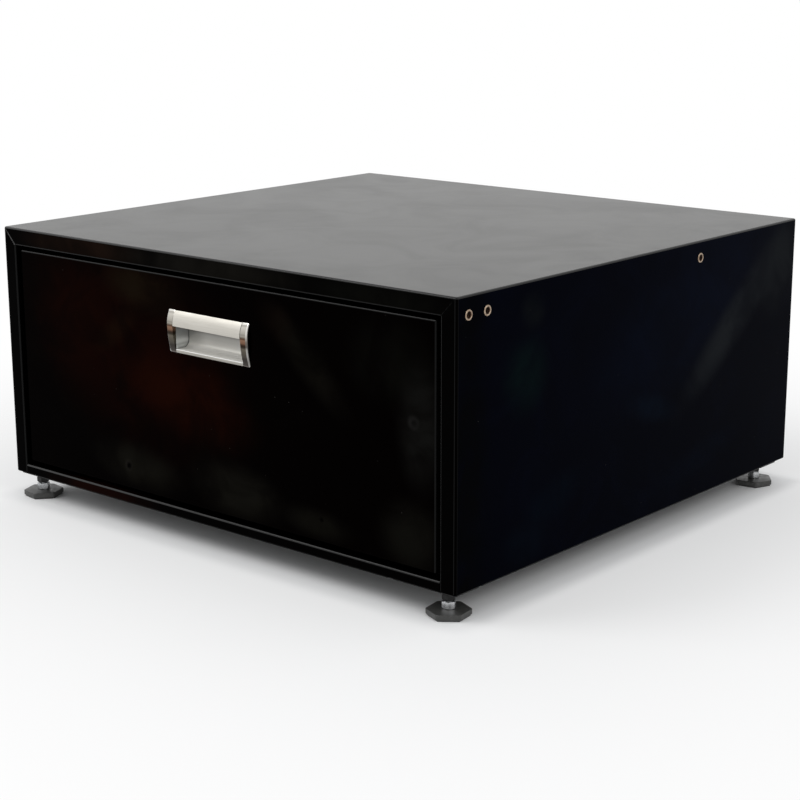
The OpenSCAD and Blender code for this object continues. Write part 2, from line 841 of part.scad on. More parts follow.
// Plate under a corner with a collar drawn down round the stud; dir is the way to the middle
module foot_bracket(side, foot_y, dir) {
    y0 = dir > 0 ? foot_y - bracket_l + bracket_reach : foot_y - bracket_reach;
    plate_z = box_z - bracket_t;
    collar_z = bracket_z + nut_h;
    bore_r = stud_r + 0.5;
    collar_r = hex_af / 2;
    color(black) on_side(side) difference() {
        union() {
            block([bracket_x0 - bracket_lip, y0, plate_z], [bracket_x1 + bracket_lip, y0 + bracket_l, box_z]);
            translate([foot_x, foot_y, 0]) rotate_extrude() polygon([
                [0, collar_z], [collar_r, collar_z],
                [collar_r + 0.3, collar_z + (plate_z - collar_z) / 2],
                [collar_r + 1.4, plate_z - 0.7], [collar_r + 3.6, plate_z],
                [collar_r + 3.6, box_z - bracket_t / 2], [0, box_z - bracket_t / 2]
            ]);
        }
        rod_z(foot_x, foot_y, collar_z - over, box_z + over, bore_r);
        translate([foot_x, foot_y, box_z - 1.2]) cylinder(h = 1.2 + over, r1 = bore_r, r2 = bore_r + 1.8);
    }
}

// Hexagonal nuts welded under the collars of the brackets
module foot_weld_nuts() {
    z0 = bracket_z;
    color(black) for (side = [-1, 1], y = [front_foot_y, rear_foot_y]) on_side(side) difference() {
        translate([foot_x, y, z0]) cylinder(h = nut_h, r = hex_af / sqrt(3), $fn = 6);
        rod_z(foot_x, y, z0 - over, z0 + nut_h + over, stud_r + stud_play);
    }
}

// Plastic base with six sides: its lower rim is drawn in, its top slopes up to the stud
module foot_base(side, foot_y, turn = foot_turn) {
    rim_h = 1.2;
    slope_h = 0.8;
    top = pad_t + base_h;
    color(black) on_side(side) translate([foot_x, foot_y, 0]) difference() {
        rotate(turn) union() {
            translate([0, 0, pad_t]) cylinder(h = rim_h, r1 = foot_r - 1.4, r2 = foot_r, $fn = 6);
            translate([0, 0, pad_t + rim_h])
                cylinder(h = base_h - rim_h - slope_h, r = foot_r, $fn = 6);
            translate([0, 0, top - slope_h]) cylinder(h = slope_h, r1 = foot_r, r2 = hex_af / 2 + 4, $fn = 6);
        }
        translate([0, 0, top - stud_socket]) cylinder(h = stud_socket + over, r = stud_r + stud_play);
    }
}

module foot_pad(side, foot_y, turn = foot_turn) {
    color(rubber) on_side(side) translate([foot_x, foot_y, 0]) rotate(turn)
        cylinder(h = pad_t, r = foot_r - 2, $fn = 6);
}

// Threaded stud with its hexagon; its lower end turns in the base
module foot_stud(side, foot_y) {
    color(zinc) on_side(side) translate([foot_x, foot_y, 0]) {
        translate([0, 0, hex_z]) cylinder(h = hex_h, r = hex_af / sqrt(3), $fn = 6);
        translate([0, 0, pad_t + base_h - stud_socket + 0.1])
            cylinder(h = stud_top - pad_t - base_h + stud_socket - 0.1, r = stud_r);
    }
}

// ---- Rivet nuts ----

// Threaded inserts in the sides, their flanges outside
module side_rivet_nuts() {
    color(brass) for (side = [-1, 1], y = rivet_y) on_side(side) difference() {
        union() {
            rod_x(side_in - rivet_l, half_w + 0.1, y, rivet_z, rivet_r);
            rod_x(half_w, half_w + rivet_flange_t, y, rivet_z, rivet_flange_r);
        }
        rod_x(side_in - rivet_l - over, half_w + rivet_flange_t + over, y, rivet_z, rivet_bore_r);
    }
}

top_sheet();
side_sheet(-1);  // left_side_sheet
side_sheet(1);  // right_side_sheet
bottom_front_rail();
bottom_rear_rail();
bottom_panel();
back_panel();
front_post(-1);  // front_left_post
front_post(1);  // front_right_post
rear_post(-1);  // rear_left_post
rear_post(1);  // rear_right_post
top_ribs();
slide_support(-1);  // left_slide_support
slide_support(1);  // right_slide_support
foot_bracket(-1, front_foot_y, 1);  // front_left_bracket
foot_bracket(1, front_foot_y, 1);  // front_right_bracket
foot_bracket(-1, rear_foot_y, -1);  // rear_left_bracket
foot_bracket(1, rear_foot_y, -1);  // rear_right_bracket
foot_weld_nuts();
side_rivet_nuts();
back_panel_screws();
slide_mount_screws();
slide_stops();
slide_outer(-1);  // left_slide_outer
slide_outer(1);  // right_slide_outer
slide_middle(-1);  // left_slide_middle
slide_middle(1);  // right_slide_middle
slide_inner(-1);  // left_slide_inner
slide_inner(1);  // right_slide_inner
ball_cage(-1, outer_cage_u, outer_ball_u, outer_ball_v);  // left_outer_cage
ball_cage(1, outer_cage_u, outer_ball_u, outer_ball_v);  // right_outer_cage
ball_cage(-1, inner_cage_u, inner_ball_u, inner_ball_v);  // left_inner_cage
ball_cage(1, inner_cage_u, inner_ball_u, inner_ball_v);  // right_inner_cage
slide_balls(-1, outer_ball_u, outer_ball_v);  // left_outer_balls
slide_balls(1, outer_ball_u, outer_ball_v);  // right_outer_balls
slide_balls(-1, inner_ball_u, inner_ball_v);  // left_inner_balls
slide_balls(1, inner_ball_u, inner_ball_v);  // right_inner_balls
drawer_front_skin();
drawer_front_liner();
drawer_tray();
drawer_back();
drawer_front_screws();
drawer_back_screws();
drawer_slide_screws();
handle_body();
handle_cap(-1);  // handle_left_cap
handle_cap(1);  // handle_right_cap
handle_screws();
foot_base(-1, front_foot_y);  // front_left_foot_base
foot_base(1, front_foot_y, front_right_foot_turn);  // front_right_foot_base
foot_base(-1, rear_foot_y);  // rear_left_foot_base
foot_base(1, rear_foot_y);  // rear_right_foot_base
foot_pad(-1, front_foot_y);  // front_left_foot_pad
foot_pad(1, front_foot_y, front_right_foot_turn);  // front_right_foot_pad
foot_pad(-1, rear_foot_y);  // rear_left_foot_pad
foot_pad(1, rear_foot_y);  // rear_right_foot_pad
foot_stud(-1, front_foot_y);  // front_left_foot_stud
foot_stud(1, front_foot_y);  // front_right_foot_stud
foot_stud(-1, rear_foot_y);  // rear_left_foot_stud
foot_stud(1, rear_foot_y);  // rear_right_foot_stud
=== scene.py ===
from math import acos, cos, hypot, pi, radians, sin, sqrt, tan

import bmesh
import bpy
from mathutils import Matrix, Vector


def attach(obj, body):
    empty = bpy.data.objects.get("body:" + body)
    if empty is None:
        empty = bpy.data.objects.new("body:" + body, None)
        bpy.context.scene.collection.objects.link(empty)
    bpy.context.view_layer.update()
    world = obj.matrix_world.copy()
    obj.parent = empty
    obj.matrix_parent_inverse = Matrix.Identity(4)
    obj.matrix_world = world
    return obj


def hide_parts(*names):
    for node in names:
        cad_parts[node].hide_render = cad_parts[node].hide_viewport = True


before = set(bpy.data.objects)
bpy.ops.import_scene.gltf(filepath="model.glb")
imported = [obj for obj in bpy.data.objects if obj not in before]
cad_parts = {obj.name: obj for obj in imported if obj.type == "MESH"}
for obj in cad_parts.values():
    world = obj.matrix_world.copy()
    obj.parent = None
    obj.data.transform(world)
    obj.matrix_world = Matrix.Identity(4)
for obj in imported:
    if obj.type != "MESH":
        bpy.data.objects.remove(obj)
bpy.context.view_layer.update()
scene = bpy.context.scene
scene.view_settings.view_transform = "Standard"


def in_scene(name, data):
    """A new object in the scene."""
    made = bpy.data.objects.new(name, data)
    scene.collection.objects.link(made)
    return made


# ---- Camera ----
# It stands to the right of the drawer and looks a little down on the box, from
# the place that the edges of the photographed box give.

camera_turn, camera_rise, camera_roll = (radians(a) for a in (40.6395, 14.2149, -0.144))
camera_back = Vector((sin(camera_turn) * cos(camera_rise),
                      -cos(camera_turn) * cos(camera_rise), sin(camera_rise)))
level_right = Vector((cos(camera_turn), sin(camera_turn), 0))
level_up = camera_back.cross(level_right)
camera_right = cos(camera_roll) * level_right + sin(camera_roll) * level_up
camera_up = camera_back.cross(camera_right)

camera_data = bpy.data.cameras.new("camera")
camera_data.lens = 82.8591
camera_data.sensor_width = 36
camera_data.clip_end = 200
camera = in_scene("camera", camera_data)
camera.matrix_world = (Matrix.Translation((1.4138, -1.6554, 0.663))
                       @ Matrix((camera_right, camera_up, camera_back)).transposed().to_4x4())
scene.camera = camera


# ---- Studio ----
# A wide pale floor, white all round, and one large soft lamp above the left of
# the drawer with a weaker one on the right.

class Finish:
    """A material whose texture nodes are added by short calls and read Object coordinates."""

    def __init__(self, name):
        self.material = bpy.data.materials.new(name)
        self.material.use_nodes = True
        self.nodes, self.links = self.material.node_tree.nodes, self.material.node_tree.links
        self.shader = self.nodes["Principled BSDF"]
        self.place = self.nodes.new("ShaderNodeTexCoord").outputs["Object"]

    def link(self, source, target):
        self.links.new(source, target)

    def feed(self, socket, value):
        """Gives a socket another node's output, a colour or a number."""
        if isinstance(value, bpy.types.NodeSocket):
            self.link(value, socket)
        else:
            socket.default_value = (*value, 1) if isinstance(value, tuple) else value

    def set(self, **values):
        for label, value in values.items():
            self.feed(self.shader.inputs[label.replace("_", " ")], value)
        return self

    def added(self, kind, **inputs):
        """A new shader node with these values in its inputs."""
        node = self.nodes.new("ShaderNode" + kind)
        for label, value in inputs.items():
            node.inputs[label].default_value = value
        return node

    def turned(self, centre=(0, 0, 0), turn=(0, 0, 0), scale=(1, 1, 1)):
        """Object coordinates seen from a centre, turned and then stretched."""
        mapping = self.added("Mapping", Location=centre, Rotation=[radians(a) for a in turn], Scale=scale)
        mapping.vector_type = "TEXTURE"
        self.link(self.place, mapping.inputs["Vector"])
        return mapping.outputs["Vector"]

    def noise(self, scale, detail=2.0, roughness=0.5, distortion=0.0, place=None):
        texture = self.added("TexNoise", Scale=scale, Detail=detail, Roughness=roughness,
                             Distortion=distortion)
        self.link(place or self.place, texture.inputs["Vector"])
        return texture.outputs["Fac"]

    def spread(self, source, low, high, to_low=0.0, to_high=1.0):
        """Maps a range of one texture onto another, held at its ends."""
        spread = self.nodes.new("ShaderNodeMapRange")
        spread.interpolation_type = "SMOOTHSTEP"
        for socket, value in zip(spread.inputs[1:5], (low, high, to_low, to_high)):
            socket.default_value = value
        self.link(source, spread.inputs[0])
        return spread.outputs[0]

    def glow(self, centre, size, turn=(0, 0, 0)):
        """A soft round patch that is 1 at its centre and 0 at its rim."""
        gradient = self.nodes.new("ShaderNodeTexGradient")
        gradient.gradient_type = "SPHERICAL"
        self.link(self.turned(centre, turn, size), gradient.inputs["Vector"])
        return self.spread(gradient.outputs["Fac"], 0.0, 0.8)

    def maths(self, operation, a, b):
        step = self.nodes.new("ShaderNodeMath")
        step.operation = operation
        for socket, value in zip(step.inputs, (a, b)):
            self.feed(socket, value)
        return step.outputs[0]

    def blend(self, share, first, second, kind="MIX"):
        """A colour made of two, which are colours or texture outputs."""
        mix = self.nodes.new("ShaderNodeMix")
        mix.data_type, mix.blend_type = "RGBA", kind
        for socket, value in ((mix.inputs["Factor"], share), (mix.inputs[6], first),
                              (mix.inputs[7], second)):
            self.feed(socket, value)
        return mix.outputs[2]

    def ramp(self, share, stops):
        """Tones at places between 0 and 1, each a grey or a colour."""
        tones = self.nodes.new("ShaderNodeValToRGB")
        self.link(share, tones.inputs["Fac"])
        while len(tones.color_ramp.elements) < len(stops):
            tones.color_ramp.elements.new(0.5)
        for stop, (place, tone) in zip(tones.color_ramp.elements, stops):
            stop.position = place
            stop.color = (*tone, 1) if isinstance(tone, tuple) else (tone, tone, tone, 1)
        return tones.outputs["Color"]

    def tone(self, source):
        self.link(source, self.shader.inputs["Base Color"])

    def gloss(self, source, low, high, smooth, rough):
        """Roughness that goes from one value to another while a texture goes from low to high."""
        self.link(self.spread(source, low, high, smooth, rough), self.shader.inputs["Roughness"])

    def bump(self, height, strength, distance):
        """Adds a relief on top of those that are there already."""
        bump = self.added("Bump", Strength=strength, Distance=distance)
        self.link(height, bump.inputs["Height"])
        if self.shader.inputs["Normal"].is_linked:
            self.link(self.shader.inputs["Normal"].links[0].from_socket, bump.inputs["Normal"])
        self.link(bump.outputs["Normal"], self.shader.inputs["Normal"])


def seen_directly(nodes, links):
    """1 for the rays of the camera, of reflections and through glass, 0 for those that light the object."""
    path = nodes.new("ShaderNodeLightPath")
    seen = path.outputs["Is Camera Ray"]
    for ray in ("Is Glossy Ray", "Is Transmission Ray"):
        either = nodes.new("ShaderNodeMath")
        either.operation = "MAXIMUM"
        links.new(seen, either.inputs[0])
        links.new(path.outputs[ray], either.inputs[1])
        seen = either.outputs[0]
    return seen


def mixed(nodes, links, share, first, second, output):
    """Shows the first shader where the share is 0 and the second where it is 1."""
    mix = nodes.new("ShaderNodeMixShader")
    for source, target in ((share, "Fac"), (first, 1), (second, 2)):
        links.new(source, mix.inputs[target])
    links.new(mix.outputs[0], nodes[output].inputs["Surface"])


floor_reach = 40.0
footprint = (0.343, 0.325, 0)  # Half the cabinet's width and depth

floor_mesh = bpy.data.meshes.new("studio_floor")
floor_mesh.from_pydata([(x * floor_reach, y * floor_reach, 0)
                        for x, y in ((-1, -1), (1, -1), (1, 1), (-1, 1))],
                       [], [(0, 1, 2, 3)])
studio_floor = in_scene("studio_floor", floor_mesh)

floor_paint = Finish("floor_paint").set(Base_Color=(0.94, 0.94, 0.94), Roughness=0.9,
                                        Specular_IOR_Level=0.1)
from_cabinet = floor_paint.place
for operation, value in (("ABSOLUTE", None), ("SUBTRACT", footprint), ("MAXIMUM", (0, 0, 0)),
                         ("LENGTH", None)):
    floor_step = floor_paint.nodes.new("ShaderNodeVectorMath")
    floor_step.operation = operation
    floor_paint.link(from_cabinet, floor_step.inputs[0])
    if value:
        floor_step.inputs[1].default_value = value
    from_cabinet = floor_step.outputs["Value" if operation == "LENGTH" else "Vector"]
white_share = seen_directly(floor_paint.nodes, floor_paint.links)
for reach, at_cabinet in ((0.03, 0.0), (0.75, 0.4)):
    white_share = floor_paint.maths("MULTIPLY", white_share,
                                    floor_paint.spread(from_cabinet, 0.0, reach, at_cabinet))
floor_white = floor_paint.added("Emission", Color=(1, 1, 1, 1), Strength=1.0)
mixed(floor_paint.nodes, floor_paint.links, white_share, floor_paint.shader.outputs["BSDF"],
      floor_white.outputs["Emission"], "Material Output")
floor_mesh.materials.append(floor_paint.material)

world = bpy.data.worlds.new("white_studio")
scene.world = world
world.use_nodes = True
sky_nodes, sky_links = world.node_tree.nodes, world.node_tree.links
sky_light, sky_seen = sky_nodes["Background"], sky_nodes.new("ShaderNodeBackground")
for background, colour, strength in ((sky_light, (0.98, 0.99, 1.0, 1), 0.72),
                                     (sky_seen, (1, 1, 1, 1), 1.0)):
    background.inputs["Color"].default_value = colour
    background.inputs["Strength"].default_value = strength
mixed(sky_nodes, sky_links, seen_directly(sky_nodes, sky_links), sky_light.outputs[0], sky_seen.outputs[0],
      "World Output")

for lamp_name, lamp_place, lamp_size, lamp_power in (
        ("left_softbox", (-2.2, -2.6, 3.6), 2.4, 60),
        ("right_softbox", (3.4, -0.6, 2.6), 1.8, 22)):
    lamp_data = bpy.data.lights.new(lamp_name, "AREA")
    lamp_data.shape = "DISK"
    lamp_data.size = lamp_size
    lamp_data.energy = lamp_power
    lamp = in_scene(lamp_name, lamp_data)
    lamp.location = lamp_place
    lamp.rotation_euler = (Vector((0, 0, 0.15)) - Vector(lamp_place)).to_track_quat("-Z", "Y").to_euler()


# ---- Top, sides and front frame ----
# Steel sheet 1.2 mm thick, folded round the top and both sides and turned in
# round the drawer's opening. The frame's rail and uprights meet in mitred
# seams, and all of it is sprayed with glossy black paint.

half_w, half_d = 0.343, 0.325
box_z, top_z = 0.03, 0.33
sheet_t, fold_r, fold_h, lip_fold_r = 0.0012, 0.002, 0.0028, 0.0016
stile_w, top_rail_h, frame_return = 0.02, 0.0205, 0.018
open_x, open_z1 = half_w - stile_w, top_z - top_rail_h
seam_w = 0.0004
rear_flange_z = top_z - sheet_t - 0.016
rivet_hole_r = 0.0045
rivet_places = [(-half_d + d, top_z - 0.0195) for d in (0.018, 0.047, 0.434)]


def black_paint(name, colour, ior, gloss, haze=(0.0016, 0.0016, 0.0017), reflection_patches=(), cloud=1.0,
                tint=(1, 1, 1)):
    """Sprayed black paint: orange peel, a slightly wavy sheet, wiping marks and a few specks of dust. Soft
    patches in its colour are painted reflections, the tint colours its reflections, and an IOR that changes
    across the cabinet paints a highlight that fades from left to right.
    """
    paint = Finish(name).set(Specular_Tint=tint)
    # An IOR from one value at the left to another at the right: a painted highlight that fades across the
    # cabinet.
    if isinstance(ior, tuple):
        across = paint.nodes.new("ShaderNodeSeparateXYZ")
        paint.link(paint.place, across.inputs[0])
        paint.link(paint.spread(across.outputs["X"], -0.34, 0.34, *ior), paint.shader.inputs["IOR"])
    else:
        paint.set(IOR=ior)
    wiped = paint.noise(9.0, 5.0, 0.6, 1.2)
    tone = paint.blend(paint.spread(wiped, 0.45, 0.8, 0.0, 0.55), colour, haze)
    # Soft patches of painted reflection, broken up by a mottle.
    for centre, size, turn, reflection_tone, amount in reflection_patches:
        mottle = paint.spread(paint.noise(16.0, 3.0, 0.55, 0.6), 0.3, 0.65, 0.35, 1.0)
        share = paint.maths("MULTIPLY", paint.maths("MULTIPLY", paint.glow(centre, size, turn), mottle),
                            amount)
        tone = paint.blend(share, tone, reflection_tone)
    specks = paint.added("TexVoronoi", Scale=95)
    paint.link(paint.place, specks.inputs["Vector"])
    dot = paint.spread(specks.outputs["Distance"], 0.03, 0.05, 1.0, 0.0)
    sparse = paint.spread(paint.noise(60.0, 0.0), 0.66, 0.7)
    tone = paint.blend(paint.maths("MULTIPLY", dot, sparse), tone, (0.035, 0.034, 0.032))
    paint.tone(tone)
    paint.gloss(wiped, 0.3, 0.8, gloss * (1 - 0.2 * cloud), gloss * (1 + 0.3 * cloud))
    paint.bump(paint.noise(2.6, 1.0), 0.25 * cloud, 0.004)
    paint.bump(paint.noise(380.0, 2.0, 0.5), 0.1, 0.00012)
    return paint.material


def mottled(name, noise, edges, dark, light, gloss_noise, smooth, rough, relief, **values):
    """A material with a mottled tone, an uneven gloss and a fine relief (noise, detail, strength, depth).
    Without a noise of its own the gloss follows the tone."""
    finish = Finish(name).set(**values)
    tone = finish.noise(*noise)
    finish.tone(finish.blend(finish.spread(tone, *edges) if edges else tone, dark, light))
    finish.gloss(finish.noise(*gloss_noise) if gloss_noise else tone, 0.3, 0.7, smooth, rough)
    finish.bump(finish.noise(*relief[:2]), *relief[2:])
    return finish.material


def repainted(node_name, material):
    """Gives a solid that is shown as it is its own material."""
    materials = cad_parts[node_name].data.materials
    materials.clear()
    materials.append(material)


# The same black paint in lit and shaded copies. The top is a lighter copy that mirrors the room at nearly
# full strength. The frame, the drawer and the sides have their reflections held down to almost nothing by a
# low IOR, which is painted shade. Each copy's base colour and tint are painted reflection colours.
top_paint = black_paint("black_paint_top", (0.006, 0.006, 0.005), 1.375, 0.3, cloud=0.25,
                        tint=(1, 1, 0.93))
# The frame's patches are painted reflections on the top rail and on the bottom rail.
frame_paint = black_paint(
    "black_paint_frame", (0.0003, 0.0002, 0.0002), 1.045, 0.2, (0.0008, 0.0007, 0.0006),
    [((-0.205, -0.325, 0.32), (0.13, 0.1, 0.022), (0, 0, 0), (0.0085, 0.004, 0.0024), 1.0),
     ((0.0, -0.325, 0.319), (0.19, 0.1, 0.022), (0, 0, 0), (0.0056, 0.005, 0.004), 1.0),
     ((0.24, -0.325, 0.318), (0.12, 0.1, 0.02), (0, 0, 0), (0.0026, 0.0026, 0.002), 0.9),
     ((-0.19, -0.325, 0.034), (0.12, 0.1, 0.02), (0, 0, 0), (0.006, 0.0012, 0.0005), 1.0)])
# Painted highlights: a copy of the paint that reflects more, for the folds, fading from left to right, and
# two for the bends, at two strengths.
fold_highlight_paint = black_paint("black_paint_folds", (0.003, 0.003, 0.003), (1.5, 1.3), 0.22)
bend_highlight_paint = black_paint("black_paint_bends", (0.002, 0.002, 0.002), 1.18, 0.22)
dim_bend_highlight_paint = black_paint("black_paint_dim_bends", (0.001, 0.001, 0.001), 1.1, 0.22)
# The sides' bluish base colour, wiping-mark haze and tint are a painted reflection, and so are their
# patches. The last patch is a painted darker band near the front end.
side_paint = black_paint(
    "black_paint_sides", (0.0001, 0.0003, 0.0019), 1.045, 0.2, (0.0004, 0.0011, 0.0046),
    [((half_w, y, z), (0.4, deep, high), (turn, 0, 0), tone, amount)
     for y, z, deep, high, turn, tone, amount in (
     (0.1, 0.26, 0.28, 0.1, 22, (0.0006, 0.0016, 0.0062), 0.9),
     (0.2, 0.235, 0.19, 0.034, 37, (0.0085, 0.0098, 0.0115), 1.0),
     (0.29, 0.275, 0.09, 0.07, 20, (0.0066, 0.0076, 0.009), 0.9),
     (0.02, 0.155, 0.07, 0.022, -14, (0.001, 0.003, 0.0075), 0.9),
     (-0.215, 0.235, 0.05, 0.055, 0, (0.0009, 0.0036, 0.0042), 1.0),
     (-0.203, 0.299, 0.028, 0.026, 0, (0.003, 0.0037, 0.0042), 1.0),
     (-0.16, 0.095, 0.08, 0.03, 18, (0.0005, 0.002, 0.0048), 0.9),
     (-0.21, 0.058, 0.05, 0.03, 0, (0.001, 0.0026, 0.0055), 0.9),
     (0.12, 0.075, 0.13, 0.025, 12, (0.0003, 0.0012, 0.0042), 0.9),
     (-0.315, 0.18, 0.055, 0.5, 0, (0.0002, 0.0002, 0.0002), 1.0))], tint=(0.35, 0.5, 1))


cabinet_paints = [top_paint, frame_paint, side_paint, fold_highlight_paint, bend_highlight_paint, dim_bend_highlight_paint]
top_i, frame_i, side_i, fold_highlight_i, bend_highlight_i, dim_highlight_i = range(len(cabinet_paints))


def sheet_face(bm, points, paint):
    face = bm.faces.new([bm.verts.new(p) for p in points])
    face.material_index = paint


def sheet_strip(bm, first, second, paint):
    """Quads between two rows of points."""
    for i in range(len(first) - 1):
        sheet_face(bm, [first[i], first[i + 1], second[i + 1], second[i]], paint)


def ring_band(bm, first, second, paint=0):
    """Quads between two closed rings of corners."""
    count = len(first)
    for i in range(count):
        after = (i + 1) % count
        bm.faces.new([first[i], first[after], second[after], second[i]]).material_index = paint


def quarter(centre, radius, start, steps=5):
    """Points of a quarter circle, or of an oval with two radii, that starts at an angle in degrees."""
    first, second = radius if isinstance(radius, tuple) else (radius, radius)
    angles = [radians(start + 90 * i / steps) for i in range(steps + 1)]
    return [(centre[0] + first * cos(a), centre[1] + second * sin(a)) for a in angles]


def corner_ball(bm, centre, signs, paint, steps=5):
    """Eighth of a ball that closes the corner between three folds."""
    rows = []
    for i in range(steps + 1):
        rise = radians(90 * i / steps)
        rows.append([Vector(centre) + Vector((
            signs[0] * fold_h * cos(rise) * cos(radians(90 * j / steps)),
            signs[1] * fold_h * cos(rise) * sin(radians(90 * j / steps)),
            signs[2] * fold_r * sin(rise))) for j in range(steps + 1)])
    for a, b in zip(rows, rows[1:]):
        sheet_strip(bm, a, b, paint)


def side_of_cabinet(bm, s):
    """Upright, side, rear fold and flanges on the side where s points."""
    x1, y0, y1, z0, z1 = half_w - fold_h, -half_d + fold_h, half_d - fold_h, box_z + fold_r, top_z - fold_r
    lip_x = open_x + lip_fold_r

    def upright_top(x):
        return open_z1 - seam_w + (x - open_x) / (x1 - open_x) * (z1 - open_z1 + seam_w)

    lip = [(open_x, -half_d + frame_return)] + quarter((lip_x, -half_d + lip_fold_r), lip_fold_r, 180)
    # The lip's flat takes the frame paint and its bend the painted bend highlight.
    sheet_strip(bm, [(s * x, y, z0) for x, y in lip[:2]], [(s * x, y, upright_top(x)) for x, y in lip[:2]],
                frame_i)
    sheet_strip(bm, [(s * x, y, z0) for x, y in lip[1:]], [(s * x, y, upright_top(x)) for x, y in lip[1:]],
                bend_highlight_i)
    sheet_face(bm, [(s * lip_x, -half_d, z0), (s * x1, -half_d, z0), (s * x1, -half_d, z1),
                    (s * lip_x, -half_d, upright_top(lip_x))], frame_i)
    front = quarter((x1, y0), fold_h, 270)
    # The front fold: a painted highlight at its front edge, a dimmer painted highlight at its side edge,
    # the frame paint between.
    for k, paint in enumerate((bend_highlight_i, frame_i, frame_i, frame_i, dim_highlight_i)):
        sheet_strip(bm, [(s * x, y, z0) for x, y in front[k:k + 2]],
                    [(s * x, y, z1) for x, y in front[k:k + 2]], paint)
    sheet_face(bm, [(s * half_w, y0, z0), (s * half_w, y1, z0), (s * half_w, y1, rear_flange_z - 0.0003),
                    (s * half_w, y1, rear_flange_z), (s * half_w, y1, z1), (s * half_w, y0, z1)], side_i)
    rear = quarter((x1, y1), fold_h, 0)
    levels = [z0, rear_flange_z - 0.0003, rear_flange_z, z1]
    for low, high in zip(levels, levels[1:]):
        sheet_strip(bm, [(s * x, y, low) for x, y in rear], [(s * x, y, high) for x, y in rear], side_i)
    sheet_face(bm, [(s * lip_x, half_d, z0), (s * x1, half_d, z0), (s * x1, half_d, levels[1]),
                    (s * lip_x, half_d, levels[1])], side_i)
    under_side = quarter((x1, z0), (fold_h, fold_r), 270)
    sheet_strip(bm, [(s * x, y0, z) for x, z in under_side], [(s * x, y1, z) for x, z in under_side],
                side_i)
    for y, sign in ((y0, -1), (y1, 1)):
        under = quarter((y0, z0), (fold_h, fold_r), 180)
        rows = [(sign * -a, z) for a, z in under]
        sheet_strip(bm, [(s * lip_x, y, z) for y, z in rows], [(s * x1, y, z) for y, z in rows], frame_i)
    sheet_face(bm, [(s * lip_x, y0, box_z), (s * x1, y0, box_z), (s * x1, y1, box_z),
                    (s * lip_x, y1, box_z)], side_i)
    # The fold over the top and the upper corners take the painted fold highlight.
    over_side = quarter((x1, z1), (fold_h, fold_r), 0)
    sheet_strip(bm, [(s * x, y0, z) for x, z in over_side], [(s * x, y1, z) for x, z in over_side], fold_highlight_i)
    for y, sy in ((y0, -1), (y1, 1)):
        for z, sz in ((z0, -1), (z1, 1)):
            corner_ball(bm, (s * x1, y, z), (s, sy, sz), fold_highlight_i if sz > 0 else side_i)


def settled(piece):
    """The piece with its modifiers worked into its mesh."""
    mesh = bpy.data.meshes.new_from_object(piece.evaluated_get(bpy.context.evaluated_depsgraph_get()))
    piece.modifiers.clear()
    piece.data = mesh
    mesh.name = piece.name
    return piece


def cut_through(piece, cutters, operation="DIFFERENCE"):
    """Cuts closed meshes, given as functions that fill a bmesh, out of a piece, or adds them to it."""
    bm = bmesh.new()
    for cutter in cutters:
        cutter(bm)
    bmesh.ops.recalc_face_normals(bm, faces=bm.faces)
    mesh = bpy.data.meshes.new("cutter")
    bm.to_mesh(mesh)
    bm.free()
    tool = in_scene("cutter", mesh)
    cut = piece.modifiers.new("cut", "BOOLEAN")
    cut.operation = operation
    cut.solver = "EXACT"
    cut.object = tool
    settled(piece)
    bpy.data.objects.remove(tool)
    bpy.data.meshes.remove(mesh)
    return piece


def rod(start, end, radius, sides=32):
    """A cutter or pin between two points."""
    def fill(bm):
        axis = Vector(end) - Vector(start)
        turn = axis.to_track_quat("Z", "Y").to_matrix().to_4x4()
        place = Matrix.Translation((Vector(start) + Vector(end)) / 2) @ turn
        bmesh.ops.create_cone(bm, cap_ends=True, segments=sides, radius1=radius, radius2=radius,
                              depth=axis.length, matrix=place)
    return fill


def box_between(low, high):
    def fill(bm):
        size = Vector(high) - Vector(low)
        bmesh.ops.create_cube(bm, size=1, matrix=Matrix.Translation((Vector(low) + Vector(high)) / 2)
                              @ Matrix.Diagonal((*size, 1)))
    return fill


def as_piece(name, bm, materials, outward=True):
    """A new object from a bmesh, with its doubles merged."""
    bmesh.ops.remove_doubles(bm, verts=bm.verts, dist=0.00001)
    if outward:
        bmesh.ops.recalc_face_normals(bm, faces=bm.faces)
    mesh = bpy.data.meshes.new(name)
    bm.to_mesh(mesh)
    bm.free()
    for material in materials:
        mesh.materials.append(material)
    piece = in_scene(name, mesh)
    return piece


def smoothed(piece, angle=32):
    """Smooth shading with crisp edges, where the large flat faces stay flat."""
    for face in piece.data.polygons:
        face.use_smooth = True
    piece.data.set_sharp_from_angle(angle=radians(angle))
    weighted = piece.modifiers.new("weighted", "WEIGHTED_NORMAL")
    weighted.keep_sharp = True
    weighted.weight = 100
    return settled(piece)


def thickened(piece, thickness):
    """Gives a sheet its thickness, inwards from the modelled face."""
    solid = piece.modifiers.new("solid", "SOLIDIFY")
    solid.thickness = thickness
    solid.offset = -1
    solid.use_even_offset = True
    return settled(piece)


cabinet_bm = bmesh.new()
for s in (-1, 1):
    side_of_cabinet(cabinet_bm, s)
x1, y0, y1, z1 = half_w - fold_h, -half_d + fold_h, half_d - fold_h, top_z - fold_r
sheet_face(cabinet_bm, [(-x1, y0, top_z), (x1, y0, top_z), (x1, y1, top_z), (-x1, y1, top_z)], top_i)
# The folds along the front and back of the top take the painted fold highlight.
for y, sign in ((y0, -1), (y1, 1)):
    rows = [(y + sign * (v - z1), z1 + (u - y0)) for u, v in quarter((y0, z1), (fold_r, fold_h), 0)]
    sheet_strip(cabinet_bm, [(-x1, a, b) for a, b in rows], [(x1, a, b) for a, b in rows], fold_highlight_i)
sheet_face(cabinet_bm, [(-x1, half_d, z1), (x1, half_d, z1), (x1, half_d, rear_flange_z),
                        (-x1, half_d, rear_flange_z)], side_i)


